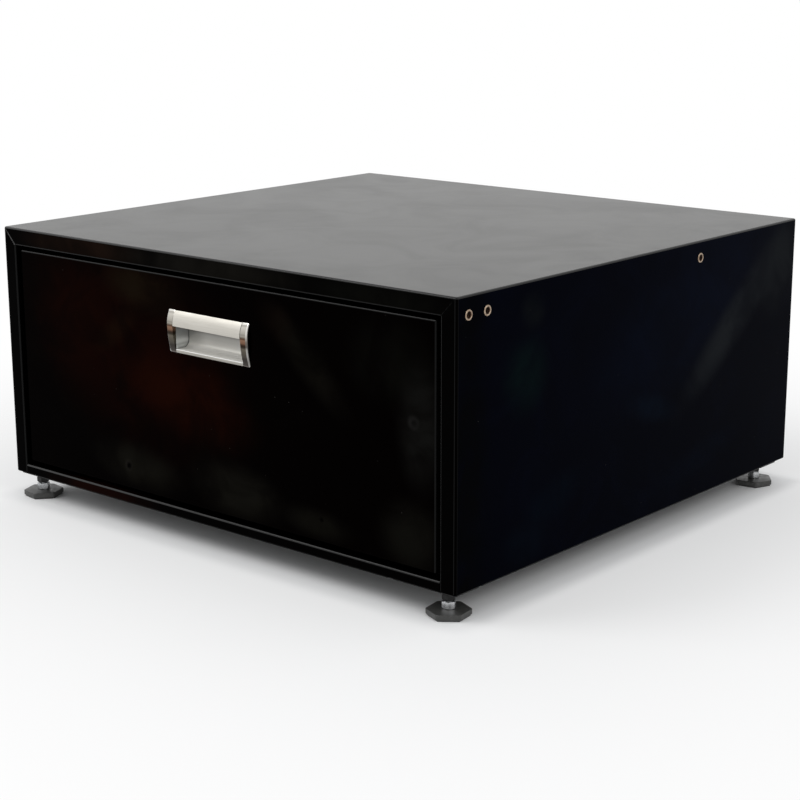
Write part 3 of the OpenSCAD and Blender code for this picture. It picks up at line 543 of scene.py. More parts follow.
def rail_end(z):
    return open_x - seam_w + (z - open_z1) / (z1 - open_z1) * (x1 - open_x + seam_w)


rail_lip_z = open_z1 + lip_fold_r
sheet_face(cabinet_bm, [(-x1, -half_d, z1), (x1, -half_d, z1), (rail_end(rail_lip_z), -half_d, rail_lip_z),
                        (-rail_end(rail_lip_z), -half_d, rail_lip_z)], frame_i)
rail_lip = quarter((-half_d + lip_fold_r, rail_lip_z), lip_fold_r,
                   180) + [(-half_d + frame_return, open_z1)]
# The rail's lip bend takes the painted bend highlight.
for rows, paint in ((rail_lip[:-1], bend_highlight_i), (rail_lip[-2:], frame_i)):
    sheet_strip(cabinet_bm, [(-rail_end(z), y, z) for y, z in rows], [(rail_end(z), y, z) for y, z in rows],
                paint)


seam_steps = 40
bead_h = 0.0003


def seam_bead(bm, s):
    """The ground weld in the mitre: a low ridge that widens unevenly towards the inner corner."""
    start = Vector((s * (x1 + seam_w), -half_d, z1 + seam_w))
    end = Vector((s * (open_x + seam_w), -half_d, open_z1 + seam_w))
    across = Vector((end.z - start.z, 0, start.x - end.x)).normalized()
    # The left seam takes the brighter painted highlight and the right one the dimmer one.
    half_w_max, waviness, paint = (0.0007, 0.15, fold_highlight_i) if s < 0 else (0.00045, 0.55, dim_highlight_i)
    rings = []
    for i in range(seam_steps + 1):
        share = i / seam_steps
        half_width = half_w_max * (0.3 + 0.7 * min(1, share / 0.45)) * (
            1 + waviness * sin(23.0 * share + s) + 0.15 * sin(61.0 * share))
        rings.append([bm.verts.new(start.lerp(end, share) + across * half_width * cos(radians(a))
                                   + Vector((0, -bead_h * sin(radians(a)), 0)))
                      for a in (200, 180, 150, 120, 90, 60, 30, 0, -20)])
    for a, b in zip(rings, rings[1:]):
        ring_band(bm, a, b, paint)
    for ring in (rings[0], rings[-1]):
        bm.faces.new(ring).material_index = paint


cabinet_sheet = as_piece("cabinet_sheet", cabinet_bm, cabinet_paints)
thickened(cabinet_sheet, sheet_t)
cut_through(cabinet_sheet, [rod((s * (half_w - 0.005), y, z), (s * (half_w + 0.005), y, z), rivet_hole_r)
                            for s in (-1, 1) for y, z in rivet_places])
bead_bm = bmesh.new()
for s in (-1, 1):
    seam_bead(bead_bm, s)
bmesh.ops.recalc_face_normals(bead_bm, faces=bead_bm.faces)
bead_bm.from_mesh(cabinet_sheet.data)
bead_bm.to_mesh(cabinet_sheet.data)
bead_bm.free()
smoothed(cabinet_sheet)
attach(cabinet_sheet, "cabinet")
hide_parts("top_sheet", "left_side_sheet", "right_side_sheet")


# ---- Bottom rails ----
# Channel and angle folded from the same sheet: the front one closes the frame
# below the drawer and stands between the uprights, the rear one lies inside.

inner_paint = black_paint("black_paint_inside", (0.0035, 0.0035, 0.0035), 1.3, 0.3)


def socket_tree(name, sockets):
    """An empty node tree with a geometry in and out and the named inputs."""
    tree = bpy.data.node_groups.new(name, "GeometryNodeTree")
    tree.interface.new_socket("Geometry", in_out="OUTPUT", socket_type="NodeSocketGeometry")
    tree.interface.new_socket("Geometry", in_out="INPUT", socket_type="NodeSocketGeometry")
    for label, kind in sockets:
        tree.interface.new_socket(label, in_out="INPUT", socket_type="NodeSocket" + kind)
    return tree, tree.nodes.new("NodeGroupInput"), tree.nodes.new("NodeGroupOutput")


def wired(tree, *ways):
    """Links nodes of a tree; each way is a source, its output, a target and its input."""
    for source, output, target, entry in ways:
        tree.links.new(source.outputs[output], target.inputs[entry])


def grown(piece, tree, **values):
    """Runs a node tree on a piece with these inputs and keeps the result as a plain mesh."""
    modifier = piece.modifiers.new(tree.name, "NODES")
    modifier.node_group = tree
    for item in tree.interface.items_tree:
        if item.in_out == "INPUT" and item.name.replace(" ", "_") in values:
            modifier[item.identifier] = values[item.name.replace(" ", "_")]
    return settled(piece)


# A folded strip: the corners of a section are rounded by their own radius, and
# the section runs along a straight line.
strip_tree, strip_in, strip_out = socket_tree(
    "folded_strip", [("Run", "Vector"), ("Fold steps", "Int"), ("Paint", "Material")])
strip_curve = strip_tree.nodes.new("GeometryNodeMeshToCurve")
strip_radius = strip_tree.nodes.new("GeometryNodeInputNamedAttribute")
strip_radius.data_type = "FLOAT"
strip_radius.inputs["Name"].default_value = "fold"
strip_fillet = strip_tree.nodes.new("GeometryNodeFilletCurve")
strip_fillet.mode = "POLY"
strip_edges = strip_tree.nodes.new("GeometryNodeCurveToMesh")
strip_extrude = strip_tree.nodes.new("GeometryNodeExtrudeMesh")
strip_extrude.mode = "EDGES"
strip_realize = strip_tree.nodes.new("GeometryNodeRealizeInstances")
strip_paint = strip_tree.nodes.new("GeometryNodeSetMaterial")
wired(strip_tree,
      (strip_in, "Geometry", strip_curve, "Mesh"),
      (strip_curve, "Curve", strip_fillet, "Curve"),
      (strip_in, "Fold steps", strip_fillet, "Count"),
      (strip_radius, "Attribute", strip_fillet, "Radius"),
      (strip_fillet, "Curve", strip_edges, "Curve"),
      (strip_edges, "Mesh", strip_extrude, "Mesh"),
      (strip_in, "Run", strip_extrude, "Offset"),
      (strip_extrude, "Mesh", strip_realize, "Geometry"),
      (strip_realize, "Geometry", strip_paint, "Geometry"),
      (strip_in, "Paint", strip_paint, "Material"),
      (strip_paint, "Geometry", strip_out, "Geometry"))


def folded_strip(name, section, run, thickness, paint, inside, steps=4, holes=()):
    """A folded strip of sheet from the corners of its outer face, each (x, y, z, fold radius), in metres.
    inside is a point on the side where the sheet's thickness goes, near the middle corner."""
    mesh = bpy.data.meshes.new(name)
    mesh.from_pydata([p[:3] for p in section], [(i, i + 1) for i in range(len(section) - 1)], [])
    fold = mesh.attributes.new("fold", "FLOAT", "POINT")
    fold.data.foreach_set("value", [p[3] for p in section])
    piece = in_scene(name, mesh)
    grown(piece, strip_tree, Run=run, Fold_steps=steps, Paint=paint)
    bm = bmesh.new()
    bm.from_mesh(piece.data)
    bmesh.ops.recalc_face_normals(bm, faces=bm.faces)
    middle = max(bm.faces, key=lambda f: f.calc_area())
    if middle.normal.dot(Vector(inside) - middle.calc_center_median()) > 0:
        bmesh.ops.reverse_faces(bm, faces=bm.faces)
    bm.to_mesh(piece.data)
    bm.free()
    thickened(piece, thickness)
    if holes:
        cut_through(piece, holes)
    return smoothed(piece)


open_z0 = box_z + 0.012
foot_x, front_foot_y, rear_foot_y = half_w - 0.0245, -half_d + 0.02, half_d - 0.031
rail_x = open_x - 0.0003
bottom_front_rail = folded_strip(
    "bottom_front_rail_sheet",
    [(-rail_x, -half_d + 0.04, box_z, 0), (-rail_x, -half_d, box_z, fold_r),
     (-rail_x, -half_d, open_z0, fold_r), (-rail_x, -half_d + frame_return, open_z0, 0)],
    (2 * rail_x, 0, 0), sheet_t, frame_paint, (0, -half_d + 0.01, box_z + 0.006), 5,
    [rod((s * foot_x, front_foot_y, box_z - 0.002), (s * foot_x, front_foot_y, box_z + 0.004),
         0.005) for s in (-1, 1)])
# A painted highlight line along the up-facing faces of the rail's top bend.
bottom_front_rail.data.materials.append(fold_highlight_paint)
for face in bottom_front_rail.data.polygons:
    centre = face.center
    if centre.z > open_z0 - fold_r and face.normal.z > 0.1 and centre.y < -half_d + 0.004:
        face.material_index = 1
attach(bottom_front_rail, "cabinet")
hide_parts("bottom_front_rail")

rear_rail_x, rear_rail_y = half_w - sheet_t - 0.0163, half_d - sheet_t - 0.0008
bottom_rear_rail = folded_strip(
    "bottom_rear_rail_sheet",
    [(-rear_rail_x, rear_rail_y - 0.04, box_z, 0), (-rear_rail_x, rear_rail_y, box_z, fold_r),
     (-rear_rail_x, rear_rail_y, box_z + 0.02, 0)],
    (2 * rear_rail_x, 0, 0), sheet_t, inner_paint, (0, rear_rail_y - 0.01, box_z + 0.01), 4,
    [rod((s * foot_x, rear_foot_y, box_z - 0.002), (s * foot_x, rear_foot_y, box_z + 0.004),
         0.005) for s in (-1, 1)])
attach(bottom_rear_rail, "cabinet")
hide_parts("bottom_rear_rail")


# ---- Drawer front ----
# A shallow pan of the same sheet, its four edges folded back and its rear
# flanges turned in. Two small marks of spot-welded studs show through the face,
# as a painted highlight ring round a painted dark centre.

front_y, liner_y = -half_d + 0.0022, -half_d + 0.0262
front_half, front_z0, front_z1 = open_x - 0.007, open_z0 + 0.0055, open_z1 - 0.005
front_flange = 0.016
handle_foot_z = 0.21945

# Painted reflections on the face, whose reddish base colour and tint are painted reflection colours too:
# place, size, turn in degrees, tone and amount
drawer_paint = black_paint(
    "black_paint_drawer", (0.0004, 0.0001, 0.0001), 1.04, 0.17, (0.0009, 0.0007, 0.0005),
    [((x, front_y, z), (wide, 0.3, high), (0, turn, 0), tone, amount)
     for x, z, wide, high, turn, tone, amount in (
     (-0.125, 0.215, 0.235, 0.15, 18, (0.0046, 0.0007, 0.0002), 1.0),
     (-0.04, 0.17, 0.13, 0.06, 12, (0.0092, 0.0016, 0.0004), 1.0),
     (-0.225, 0.24, 0.08, 0.09, 0, (0.0056, 0.001, 0.0003), 0.9),
     (-0.105, 0.283, 0.085, 0.036, 8, (0.007, 0.0044, 0.0022), 0.9),
     (-0.15, 0.232, 0.06, 0.02, -35, (0.0075, 0.0034, 0.0014), 0.7),
     (0.1, 0.275, 0.04, 0.025, 30, (0.0042, 0.0022, 0.0014), 0.9),
     (0.145, 0.238, 0.095, 0.026, 43, (0.0034, 0.003, 0.0022), 1.0),
     (0.255, 0.255, 0.075, 0.06, 0, (0.0022, 0.0022, 0.0017), 0.9),
     (-0.125, 0.077, 0.095, 0.034, 4, (0.0052, 0.0048, 0.0036), 1.0),
     (0.035, 0.078, 0.09, 0.04, 5, (0.0062, 0.0058, 0.0045), 1.0),
     (0.155, 0.066, 0.065, 0.022, 4, (0.0044, 0.0041, 0.0031), 0.9),
     (0.283, 0.078, 0.055, 0.05, 0, (0.0048, 0.0046, 0.0036), 0.9),
     (0.298, 0.195, 0.04, 0.085, 0, (0.006, 0.006, 0.0055), 1.0),
     # The stud marks' painted highlight rings and dark centres, then two small dark spots
     (-0.139, 0.075, 0.0085, 0.0095, 0, (0.01, 0.009, 0.0075), 1.0),
     (-0.138, 0.0745, 0.0058, 0.0066, 30, (0.0004, 0.0003, 0.0003), 1.0),
     (0.287, 0.198, 0.0095, 0.01, 0, (0.016, 0.0155, 0.015), 1.0),
     (0.288, 0.1975, 0.0066, 0.0068, 30, (0.0006, 0.0006, 0.0006), 1.0),
     (-0.006, 0.071, 0.0045, 0.0045, 0, (0.0003, 0.0003, 0.0003), 1.0),
     (0.162, 0.072, 0.004, 0.004, 0, (0.0003, 0.0003, 0.0003), 1.0))], tint=(0.6, 0.45, 0.4))


def folded_pan(name, low, high, fold, flange, thickness, materials):
    """A closed pan whose rear face is open inside a flange; all its edges are rounded."""
    bm = bmesh.new()
    box_between(low, high)(bm)
    bmesh.ops.bevel(bm, geom=bm.edges, offset=fold, segments=4, profile=0.5, affect="EDGES",
                    clamp_overlap=False)
    rear = max((f for f in bm.faces if f.normal.y > 0.99), key=lambda f: f.calc_area())
    bmesh.ops.inset_region(bm, faces=[rear], thickness=flange - fold)
    bmesh.ops.delete(bm, geom=[rear], context="FACES")
    piece = as_piece(name, bm, materials, outward=False)
    return thickened(piece, thickness)


# A painted highlight along the drawer's top edge, fading from left to right.
edge_highlight_paint = black_paint("black_paint_drawer_edge", (0.002, 0.002, 0.002), (1.46, 1.24), 0.22)
drawer_front = folded_pan("drawer_front_pan", (-front_half, front_y, front_z0),
                          (front_half, liner_y, front_z1),
                          0.0018, front_flange, sheet_t, [drawer_paint, edge_highlight_paint, bend_highlight_paint])
cap_x = 0.052
cut_through(drawer_front, [box_between(
    (-cap_x - 0.0024, front_y - 0.001, handle_foot_z + 0.002),
    (cap_x + 0.0024, front_y + 0.003, handle_foot_z + 0.046))])
# The top edge takes the painted edge highlight, and the right edge and the up-facing bends take the painted
# bend highlight.
for face in drawer_front.data.polygons:
    if face.center.y < front_y + 0.004 and face.normal.y < 0.2:
        if face.normal.z > 0.35 and face.center.z > front_z1 - 0.003:
            face.material_index = 1
        elif face.normal.x > 0.15 and face.center.x > front_half - 0.003 or face.normal.z > 0.1:
            face.material_index = 2
smoothed(drawer_front)
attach(drawer_front, "drawer")
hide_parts("drawer_front_skin")

for node_name in ("drawer_front_liner", "drawer_back"):
    repainted(node_name, inner_paint)


# ---- Drawer box ----
# Floor and sides of 1 mm sheet in one piece, with lips turned in along the upper
# edge, and a front wall that is screwed to the pan.

tray_half, tray_y0, tray_y1, tray_z0, tray_z1 = 0.3093, -0.298, 0.25, 0.052, 0.24
tray_t, tray_lip = 0.001, 0.008

drawer_tray = folded_strip(
    "drawer_tray_sheet",
    [(-tray_half + tray_lip, tray_y0, tray_z1, 0), (-tray_half, tray_y0, tray_z1, 0.0016),
     (-tray_half, tray_y0, tray_z0, 0.0022), (tray_half, tray_y0, tray_z0, 0.0022),
     (tray_half, tray_y0, tray_z1, 0.0016), (tray_half - tray_lip, tray_y0, tray_z1, 0)],
    (0, tray_y1 - tray_y0, 0), tray_t, inner_paint, (0, 0, 0.1), 4,
    [box_between((-tray_half - 0.001, tray_y1 - 0.016, tray_z1 - 0.003),
                 (tray_half + 0.001, tray_y1 + 0.001, tray_z1 + 0.001))])
wall_bm = bmesh.new()
wall_bm.from_mesh(drawer_tray.data)
box_between((-tray_half + tray_t, tray_y0, tray_z0 + tray_t),
            (tray_half - tray_t, tray_y0 + tray_t, tray_z1))(wall_bm)
wall_bm.to_mesh(drawer_tray.data)
wall_bm.free()
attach(drawer_tray, "drawer")
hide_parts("drawer_tray")


# ---- Handle ----
# An extruded aluminium pull with a visor over the finger cup and a lip below it,
# satin anodized. A bulging cap of polished plate closes each end.

handle_h, visor_h, lip_h, cup_top_h = 0.0475, 0.03, 0.004, 0.044
bulge, bulge_h, cup_wall, cup_d = 0.005, 0.032, 0.0016, 0.02
upper_r = ((handle_h - bulge_h) ** 2 + bulge ** 2) / (2 * bulge)
lower_r = (bulge_h ** 2 + bulge ** 2) / (2 * bulge)


def height_share(finish):
    """Height over the foot of the pull as a share of the pull's height."""
    apart = finish.nodes.new("ShaderNodeSeparateXYZ")
    finish.link(finish.place, apart.inputs[0])
    return finish.maths("DIVIDE", finish.maths("SUBTRACT", apart.outputs["Z"], handle_foot_z),
                        handle_h), apart.outputs["X"]


def satin_aluminium(name, levels, dark, light, metal, rough, low_metal=None, seam=False):
    """Anodized aluminium, finely brushed along the pull, with a tone that follows the height in mm, which
    is painted light and shade, and a darker seam next to the caps.
    """
    satin = Finish(name)
    share, across = height_share(satin)
    brushed = satin.noise(1.0, 4.0, 0.7, 0.0, satin.turned(scale=(0.05, 0.0011, 0.0006)))
    tone = satin.blend(1.0, satin.ramp(share, [(up / 47.5, level) for up, level in levels]),
                       satin.blend(satin.spread(brushed, 0.3, 0.7), dark, light), "MULTIPLY")
    if seam:
        tone = satin.blend(satin.spread(satin.maths("ABSOLUTE", across, 0.0), cap_x - 0.0016,
                                        cap_x - 0.0008), tone, (0.1, 0.1, 0.095))
    satin.tone(tone)
    if low_metal is None:
        satin.set(Metallic=metal)
    else:
        # Less metallic at the foot of the cup, so that the floor there shows a brighter tone: painted
        # light.
        satin.link(satin.spread(share, 0.13, 0.172, low_metal, metal), satin.shader.inputs["Metallic"])
    satin.gloss(satin.noise(55.0, 4.0), 0.3, 0.7, rough * 0.85, rough * 1.15)
    satin.bump(brushed, 0.12, 0.00008)
    satin.bump(satin.noise(1500.0, 1.0), 0.08, 0.00004)
    return satin.material


# Lighter towards the top: a painted sheen.
visor_metal = satin_aluminium(
    "satin_aluminium", ((0, 0.62), (4, 0.72), (30, 0.84), (38, 0.9), (45, 1.0)),
    (0.59, 0.565, 0.51), (0.68, 0.655, 0.6), 0.85, 0.45)
# Painted shade under the visor, darkest at the top, and painted light on the floor and the lower cove.
cup_metal = satin_aluminium(
    "satin_aluminium_cup",
    ((3.5, 0.93), (6.8, 0.96), (7.6, 0.96), (8.5, 0.82), (9.4, 0.66), (10.4, 0.54), (13.7, 0.46),
     (16.0, 0.4),
                            (19.4, 0.36), (21.2, 0.3), (22.5, 0.22)),
    (0.96, 0.93, 0.86), (1.0, 0.98, 0.92), 0.6, 0.4, 0.05, True)
# Painted light bands low down and painted shade towards the top.
cup_end_metal = satin_aluminium(
    "satin_aluminium_ends",
    ((4, 0.7), (6.5, 0.85), (8.5, 0.58), (11, 0.78), (13, 0.76), (16, 0.5), (18.5, 0.38), (24, 0.33),
     (29, 0.26)),
    (0.9, 0.93, 0.91), (1.0, 1.0, 0.98), 0.5, 0.35)
# A near-white, barely metallic copy for the lip's edge: a painted highlight.
lip_edge_highlight_metal = satin_aluminium(
    "satin_aluminium_edge", ((0, 0.9), (10, 0.97)), (0.97, 0.96, 0.93), (1.0, 1.0, 0.98), 0.1, 0.35)


def bulge_at(h, inset=0.0):
    """How far the handle stands out at a height, less a wall."""
    r = upper_r if h >= bulge_h else lower_r
    return bulge - r + sqrt(max((r - inset) ** 2 - (h - bulge_h) ** 2, 0))


def rounded_outline(corners, steps=4):
    """A closed outline from corners (out, up, radius): those with a radius are rounded."""
    outline = []
    for i, (a, b, r) in enumerate(corners):
        here = Vector((a, b))
        before, after = Vector(corners[i - 1][:2]), Vector(corners[(i + 1) % len(corners)][:2])
        if not r:
            outline.append(here)
            continue
        u, v = (before - here).normalized(), (after - here).normalized()
        half = acos(max(-1, min(1, u.dot(v)))) / 2
        reach = min(r / tan(half), (before - here).length * 0.95, (after - here).length * 0.95)
        centre = here + (u + v).normalized() * reach / cos(half)
        start, end = here + u * reach - centre, here + v * reach - centre
        sweep = start.angle_signed(end)
        for k in range(steps + 1):
            outline.append(centre + Matrix.Rotation(-sweep * k / steps, 2) @ start)
    return outline


def handle_point(x, out, up):
    return Vector((x, front_y - out, handle_foot_z + up))


def extruded(bm, outline, x0, x1, material=0):
    """The outline as a solid from x0 to x1."""
    ends = [[bm.verts.new(handle_point(x, *p)) for p in outline] for x in (x0, x1)]
    ring_band(bm, *ends, material)
    for end in ends:
        bm.faces.new(end).material_index = material


heights = [visor_h + (handle_h - 0.0004 - visor_h) * i / 14 for i in range(15)]
visor_outer = [(bulge_at(h), h, 0) for h in heights]
visor_outer[0] = (bulge_at(visor_h), visor_h, 0.0005)
cup_outer = [(0.0, handle_h, 0.0004), (0.0, cup_top_h + cup_wall, 0),
             (-cup_d, cup_top_h + cup_wall, 0.0056),
             (-cup_d, lip_h - cup_wall, 0.0096), (0.0, lip_h - cup_wall, 0), (0.0, 0.0, 0)]
lip_outer = [(bulge_at(h), h, 0) for h in (0.0006, 0.0014, 0.0022)] + [(bulge_at(lip_h), lip_h, 0.0011)]
cup_inner = [(-cup_d + cup_wall, lip_h, 0.008), (-cup_d + cup_wall, cup_top_h, 0.004)]
visor_inner = [(bulge_at(h, cup_wall), h, 0) for h in (cup_top_h, 0.0415, 0.039, 0.0365, 0.034, 0.032)] + [
    (bulge_at(visor_h, cup_wall), visor_h, 0.0004)]

handle_bm = bmesh.new()
extruded(handle_bm, rounded_outline(visor_outer + cup_outer + lip_outer + cup_inner + visor_inner, 6),
         -cap_x + 0.0003,
         cap_x - 0.0003)
handle_body = as_piece("handle_extrusion", handle_bm, [visor_metal, cup_metal, lip_edge_highlight_metal])
near = 0.0001
for face in handle_body.data.polygons:
    out, up = front_y - face.center.y, face.center.z - handle_foot_z
    if abs(face.normal.x) > 0.5:
        continue
    in_cup = -cup_d + cup_wall - near < out < bulge_at(up, 0.0008) - 0.0004
    if in_cup and lip_h - near < up < cup_top_h + near:
        face.material_index = 1
    # The lip's upper edge takes the painted highlight.
    if lip_h - 0.0009 < up < lip_h + near and out > bulge_at(lip_h) - 0.0013:
        face.material_index = 2
smoothed(handle_body, 28)
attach(handle_body, "drawer")
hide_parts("handle_body")


def polished_plate(name, stops):
    """Mirror-polished plate whose tone changes with the height: a painted reflection of the room."""
    plate = Finish(name).set(Metallic=1.0)
    share = plate.maths("ADD", height_share(plate)[0],
                        plate.spread(plate.noise(60.0, 2.0), 0.2, 0.8, -0.01, 0.01))
    plate.tone(plate.ramp(share, stops))
    plate.gloss(plate.noise(120.0, 3.0), 0.3, 0.75, 0.05, 0.12)
    plate.bump(plate.noise(40.0, 2.0), 0.05, 0.0003)
    return plate.material


# Painted reflection of the room: a bright top, a brown band and a dark lower half.
polished = polished_plate("polished_cap", (
    (0.005, (0.16, 0.14, 0.13)), (0.035, (0.055, 0.048, 0.043)), (0.13, (0.04, 0.034, 0.03)),
    (0.18, (0.035, 0.03, 0.026)),
    (0.23, (0.062, 0.055, 0.046)), (0.34, (0.088, 0.077, 0.06)), (0.41, (0.115, 0.1, 0.078)),
    (0.44, (0.045, 0.036, 0.026)),
    (0.475, (0.02, 0.014, 0.009)), (0.51, (0.05, 0.028, 0.018)), (0.55, (0.17, 0.092, 0.058)),
    (0.61, (0.22, 0.125, 0.08)),
    (0.645, (0.08, 0.042, 0.026)), (0.675, (0.17, 0.14, 0.11)), (0.7, (0.32, 0.3, 0.26)),
    (0.735, (0.27, 0.25, 0.22)),
    (0.765, (0.38, 0.36, 0.32)), (0.82, (0.47, 0.445, 0.4)), (0.905, (0.6, 0.575, 0.52)),
    (0.94, (0.44, 0.42, 0.38)),
    (0.955, (0.46, 0.44, 0.4)), (0.97, (0.82, 0.8, 0.75))))
# A lighter copy for the rim of the chamfer: a painted highlight.
polished_rim_highlight = polished_plate("polished_cap_rim", (
    (0.02, (0.34, 0.33, 0.32)), (0.12, (0.22, 0.21, 0.2)), (0.28, (0.36, 0.35, 0.34)),
    (0.4, (0.34, 0.33, 0.31)),
    (0.47, (0.1, 0.09, 0.08)), (0.58, (0.16, 0.14, 0.12)), (0.66, (0.36, 0.34, 0.31)),
    (0.76, (0.62, 0.6, 0.56)),
    (0.94, (0.82, 0.8, 0.76))))

# A dark copy for the end face: a painted dark reflection.
polished_end_reflection = polished_plate("polished_cap_end", (
    (0.0, (0.3, 0.29, 0.27)), (0.35, (0.05, 0.05, 0.05)), (1.0, (0.16, 0.15, 0.14))))

cap_w, end_wall = 0.01, 0.002
cap_heights = [handle_h * (0.5 - 0.5 * cos(pi * i / 28)) for i in range(29)]
cap_outline = [Vector((bulge_at(h), h)) for h in cap_heights]
cup_i, rim_highlight_i, end_i = 1, 2, 3  # After the polished plate itself
# Places along the cap with the share of the bulge and the trim at both ends there
cap_rings = ((cap_x, 0.88, 0.0003), (cap_x + 0.0004, 1.0, 0.0), (cap_x + cap_w - 0.0019, 1.0, 0.0),
             (cap_x + cap_w - 0.0014, 0.95, 0.0001), (cap_x + cap_w - 0.0005, 0.72, 0.0005),
             (cap_x + cap_w - 0.0002, 0.6, 0.0007), (cap_x + cap_w, 0.5, 0.001))


def bulging_cap(bm, s):
    """The solid of an end cap, with a broad chamfer round its outer end."""
    rings = [[bm.verts.new(handle_point(s * x, p.x * share, trim + p.y * (1 - 2 * trim / handle_h)))
              for p in cap_outline] for x, share, trim in cap_rings]
    # The chamfer takes the painted rim highlight, then the painted dark reflection.
    for a, b, paint in zip(rings, rings[1:], (0, 0, rim_highlight_i, rim_highlight_i, end_i, end_i)):
        ring_band(bm, a, b, paint)
    bm.faces.new(rings[0])
    bm.faces.new(rings[-1]).material_index = end_i


cup_end = rounded_outline([(0.0, lip_h - cup_wall, 0), (0.0, cup_top_h + cup_wall, 0),
                           (-cup_d, cup_top_h + cup_wall, 0.0056), (-cup_d, lip_h - cup_wall, 0.0096)], 6)
for side_name, s in (("left", -1), ("right", 1)):
    cap_bm = bmesh.new()
    bulging_cap(cap_bm, s)
    extruded(cap_bm, cup_end, s * cap_x, s * (cap_x + end_wall), cup_i)
    cap = as_piece("handle_%s_end_cap" % side_name, cap_bm,
                   [polished, cup_end_metal, polished_rim_highlight, polished_end_reflection])
    smoothed(cap, 40)
    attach(cap, "drawer")
    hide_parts("handle_%s_cap" % side_name)


# ---- Foot brackets ----
# Plates of 2 mm sheet, spot-welded under each corner. A collar is drawn down
# round the foot's stud, and a hexagonal nut is welded under it.

bracket_t, nut_z, nut_h, hex_af = 0.002, 0.017, 0.0065, 0.013
bracket_x0, bracket_x1, bracket_l, corner_r = half_w - 0.087, half_w - 0.003, 0.04, 0.004
stud_r = 0.004
bore_r, collar_r, plate_z = stud_r + 0.0005, hex_af / 2, box_z - bracket_t

bracket_paint = black_paint("black_paint_brackets", (0.004, 0.004, 0.004), 1.35, 0.32)


def lathe(rows, sides=48, hollow=False):
    """Fills a bmesh with a closed body round the Z axis from rows (z, radius), where the radius may be a
    function of the angle. A hollow one joins its last row to the first, the others are capped."""
    def fill(bm):
        rings = []
        for z, radius in rows:
            at = radius if callable(radius) else lambda a, r=radius: r
            rings.append([bm.verts.new((at(a) * cos(a), at(a) * sin(a), z))
                          for a in (2 * pi * i / sides for i in range(sides))])
        for a, b in list(zip(rings, rings[1:])) + ([(rings[-1], rings[0])] if hollow else []):
            ring_band(bm, a, b)
        if not hollow:
            bm.faces.new(list(reversed(rings[0])))
            bm.faces.new(rings[-1])
    return fill


def moved(body, x, y):
    """A body that fills a bmesh at another place on the floor plan."""
    def fill(bm):
        part = bmesh.new()
        body(part)
        part.transform(Matrix.Translation((x, y, 0)))
        mesh = bpy.data.meshes.new("part")
        part.to_mesh(mesh)
        part.free()
        bm.from_mesh(mesh)
        bpy.data.meshes.remove(mesh)
    return fill


nut_top = nut_z + nut_h
collar = lathe([(nut_top, collar_r - 0.0004), (nut_top + 0.0004, collar_r),
                (nut_top + 0.0022, collar_r + 0.0003),
                (plate_z - 0.0011, collar_r + 0.0009), (plate_z - 0.0005, collar_r + 0.0018),
                (plate_z - 0.0001, collar_r + 0.0034), (plate_z + 0.001, collar_r + 0.0034)])
corners = (("front_left", -1, front_foot_y), ("front_right", 1, front_foot_y),
           ("rear_left", -1, rear_foot_y), ("rear_right", 1, rear_foot_y))

for corner, s, foot_y in corners:
    start_y = foot_y - (0.016 if foot_y < 0 else 0.024)
    plate_bm = bmesh.new()
    box_between((min(s * bracket_x0, s * bracket_x1), start_y, plate_z),
                (max(s * bracket_x0, s * bracket_x1), start_y + bracket_l, box_z))(plate_bm)
    uprights = [e for e in plate_bm.edges if abs((e.verts[0].co - e.verts[1].co).z) > bracket_t / 2]
    bmesh.ops.bevel(plate_bm, geom=uprights, offset=corner_r, segments=5, profile=0.5, affect="EDGES")
    rims = [e for e in plate_bm.edges if abs((e.verts[0].co - e.verts[1].co).z) < 1e-6]
    bmesh.ops.bevel(plate_bm, geom=rims, offset=0.0003, segments=2, profile=0.5, affect="EDGES")
    bracket = as_piece(corner + "_bracket_pressing", plate_bm, [bracket_paint])
    cut_through(bracket, [moved(collar, s * foot_x, foot_y)], "UNION")
    cut_through(bracket, [rod((s * foot_x, foot_y, nut_z), (s * foot_x, foot_y, box_z + 0.004), bore_r)])
    smoothed(bracket, 36)
    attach(bracket, "cabinet")
    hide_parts(corner + "_bracket")


# ---- Feet ----
# Six-sided bases moulded from black plastic, each on a rubber pad. A zinc-plated
# stud with an M8 thread and a hexagon turns in each base.

pad_t, base_top, foot_r = 0.001, 0.008, 0.024
foot_turn, front_right_turn = radians(8), radians(38)
hex_z, hex_h = 0.0081, 0.0079
stud_top, pitch = 0.0395, 0.00125

foot_plastic = mottled("moulded_black", (160.0, 5.0, 0.65, 0.8), (0.5, 0.75), (0.045, 0.045, 0.043),
                       (0.1, 0.1, 0.095), None, 0.3, 0.5, (900.0, 2.0, 0.15, 0.00006), IOR=1.45)
pad_rubber = mottled("foot_rubber", (220.0, 3.0), None, (0.018, 0.018, 0.018), (0.035, 0.034, 0.032),
                     (90.0, 2.0), 0.65, 0.85, (1200.0, 2.0, 0.2, 0.00008), IOR=1.4)
bright_zinc = mottled("bright_zinc", (240.0, 4.0, 0.6, 0.5), (0.35, 0.7), (0.46, 0.47, 0.48),
                      (0.66, 0.67, 0.68), None, 0.22, 0.38, (700.0, 3.0, 0.12, 0.00008), Metallic=1.0)


def flats(count, apothem, turn=0.0):
    """Radius of a regular polygon at an angle."""
    step = 2 * pi / count
    return lambda a: apothem / cos((a - turn + step / 2) % step - step / 2)


def hexagon_rows(z0, z1, across):
    """A hexagon whose upper and lower corners are turned off."""
    side = flats(6, across / 2, pi / 6)
    def limited(depth):
        return lambda a: min(side(a), across / 2 * 0.97 + depth * 1.9)
    return [(z0, limited(0)), (z0 + 0.0003, limited(0.0003)), (z0 + 0.0007, limited(0.0007)),
            (z0 + 0.0012, side),
            (z1 - 0.0012, side), (z1 - 0.0007, limited(0.0007)), (z1 - 0.0003, limited(0.0003)),
            (z1, limited(0))]


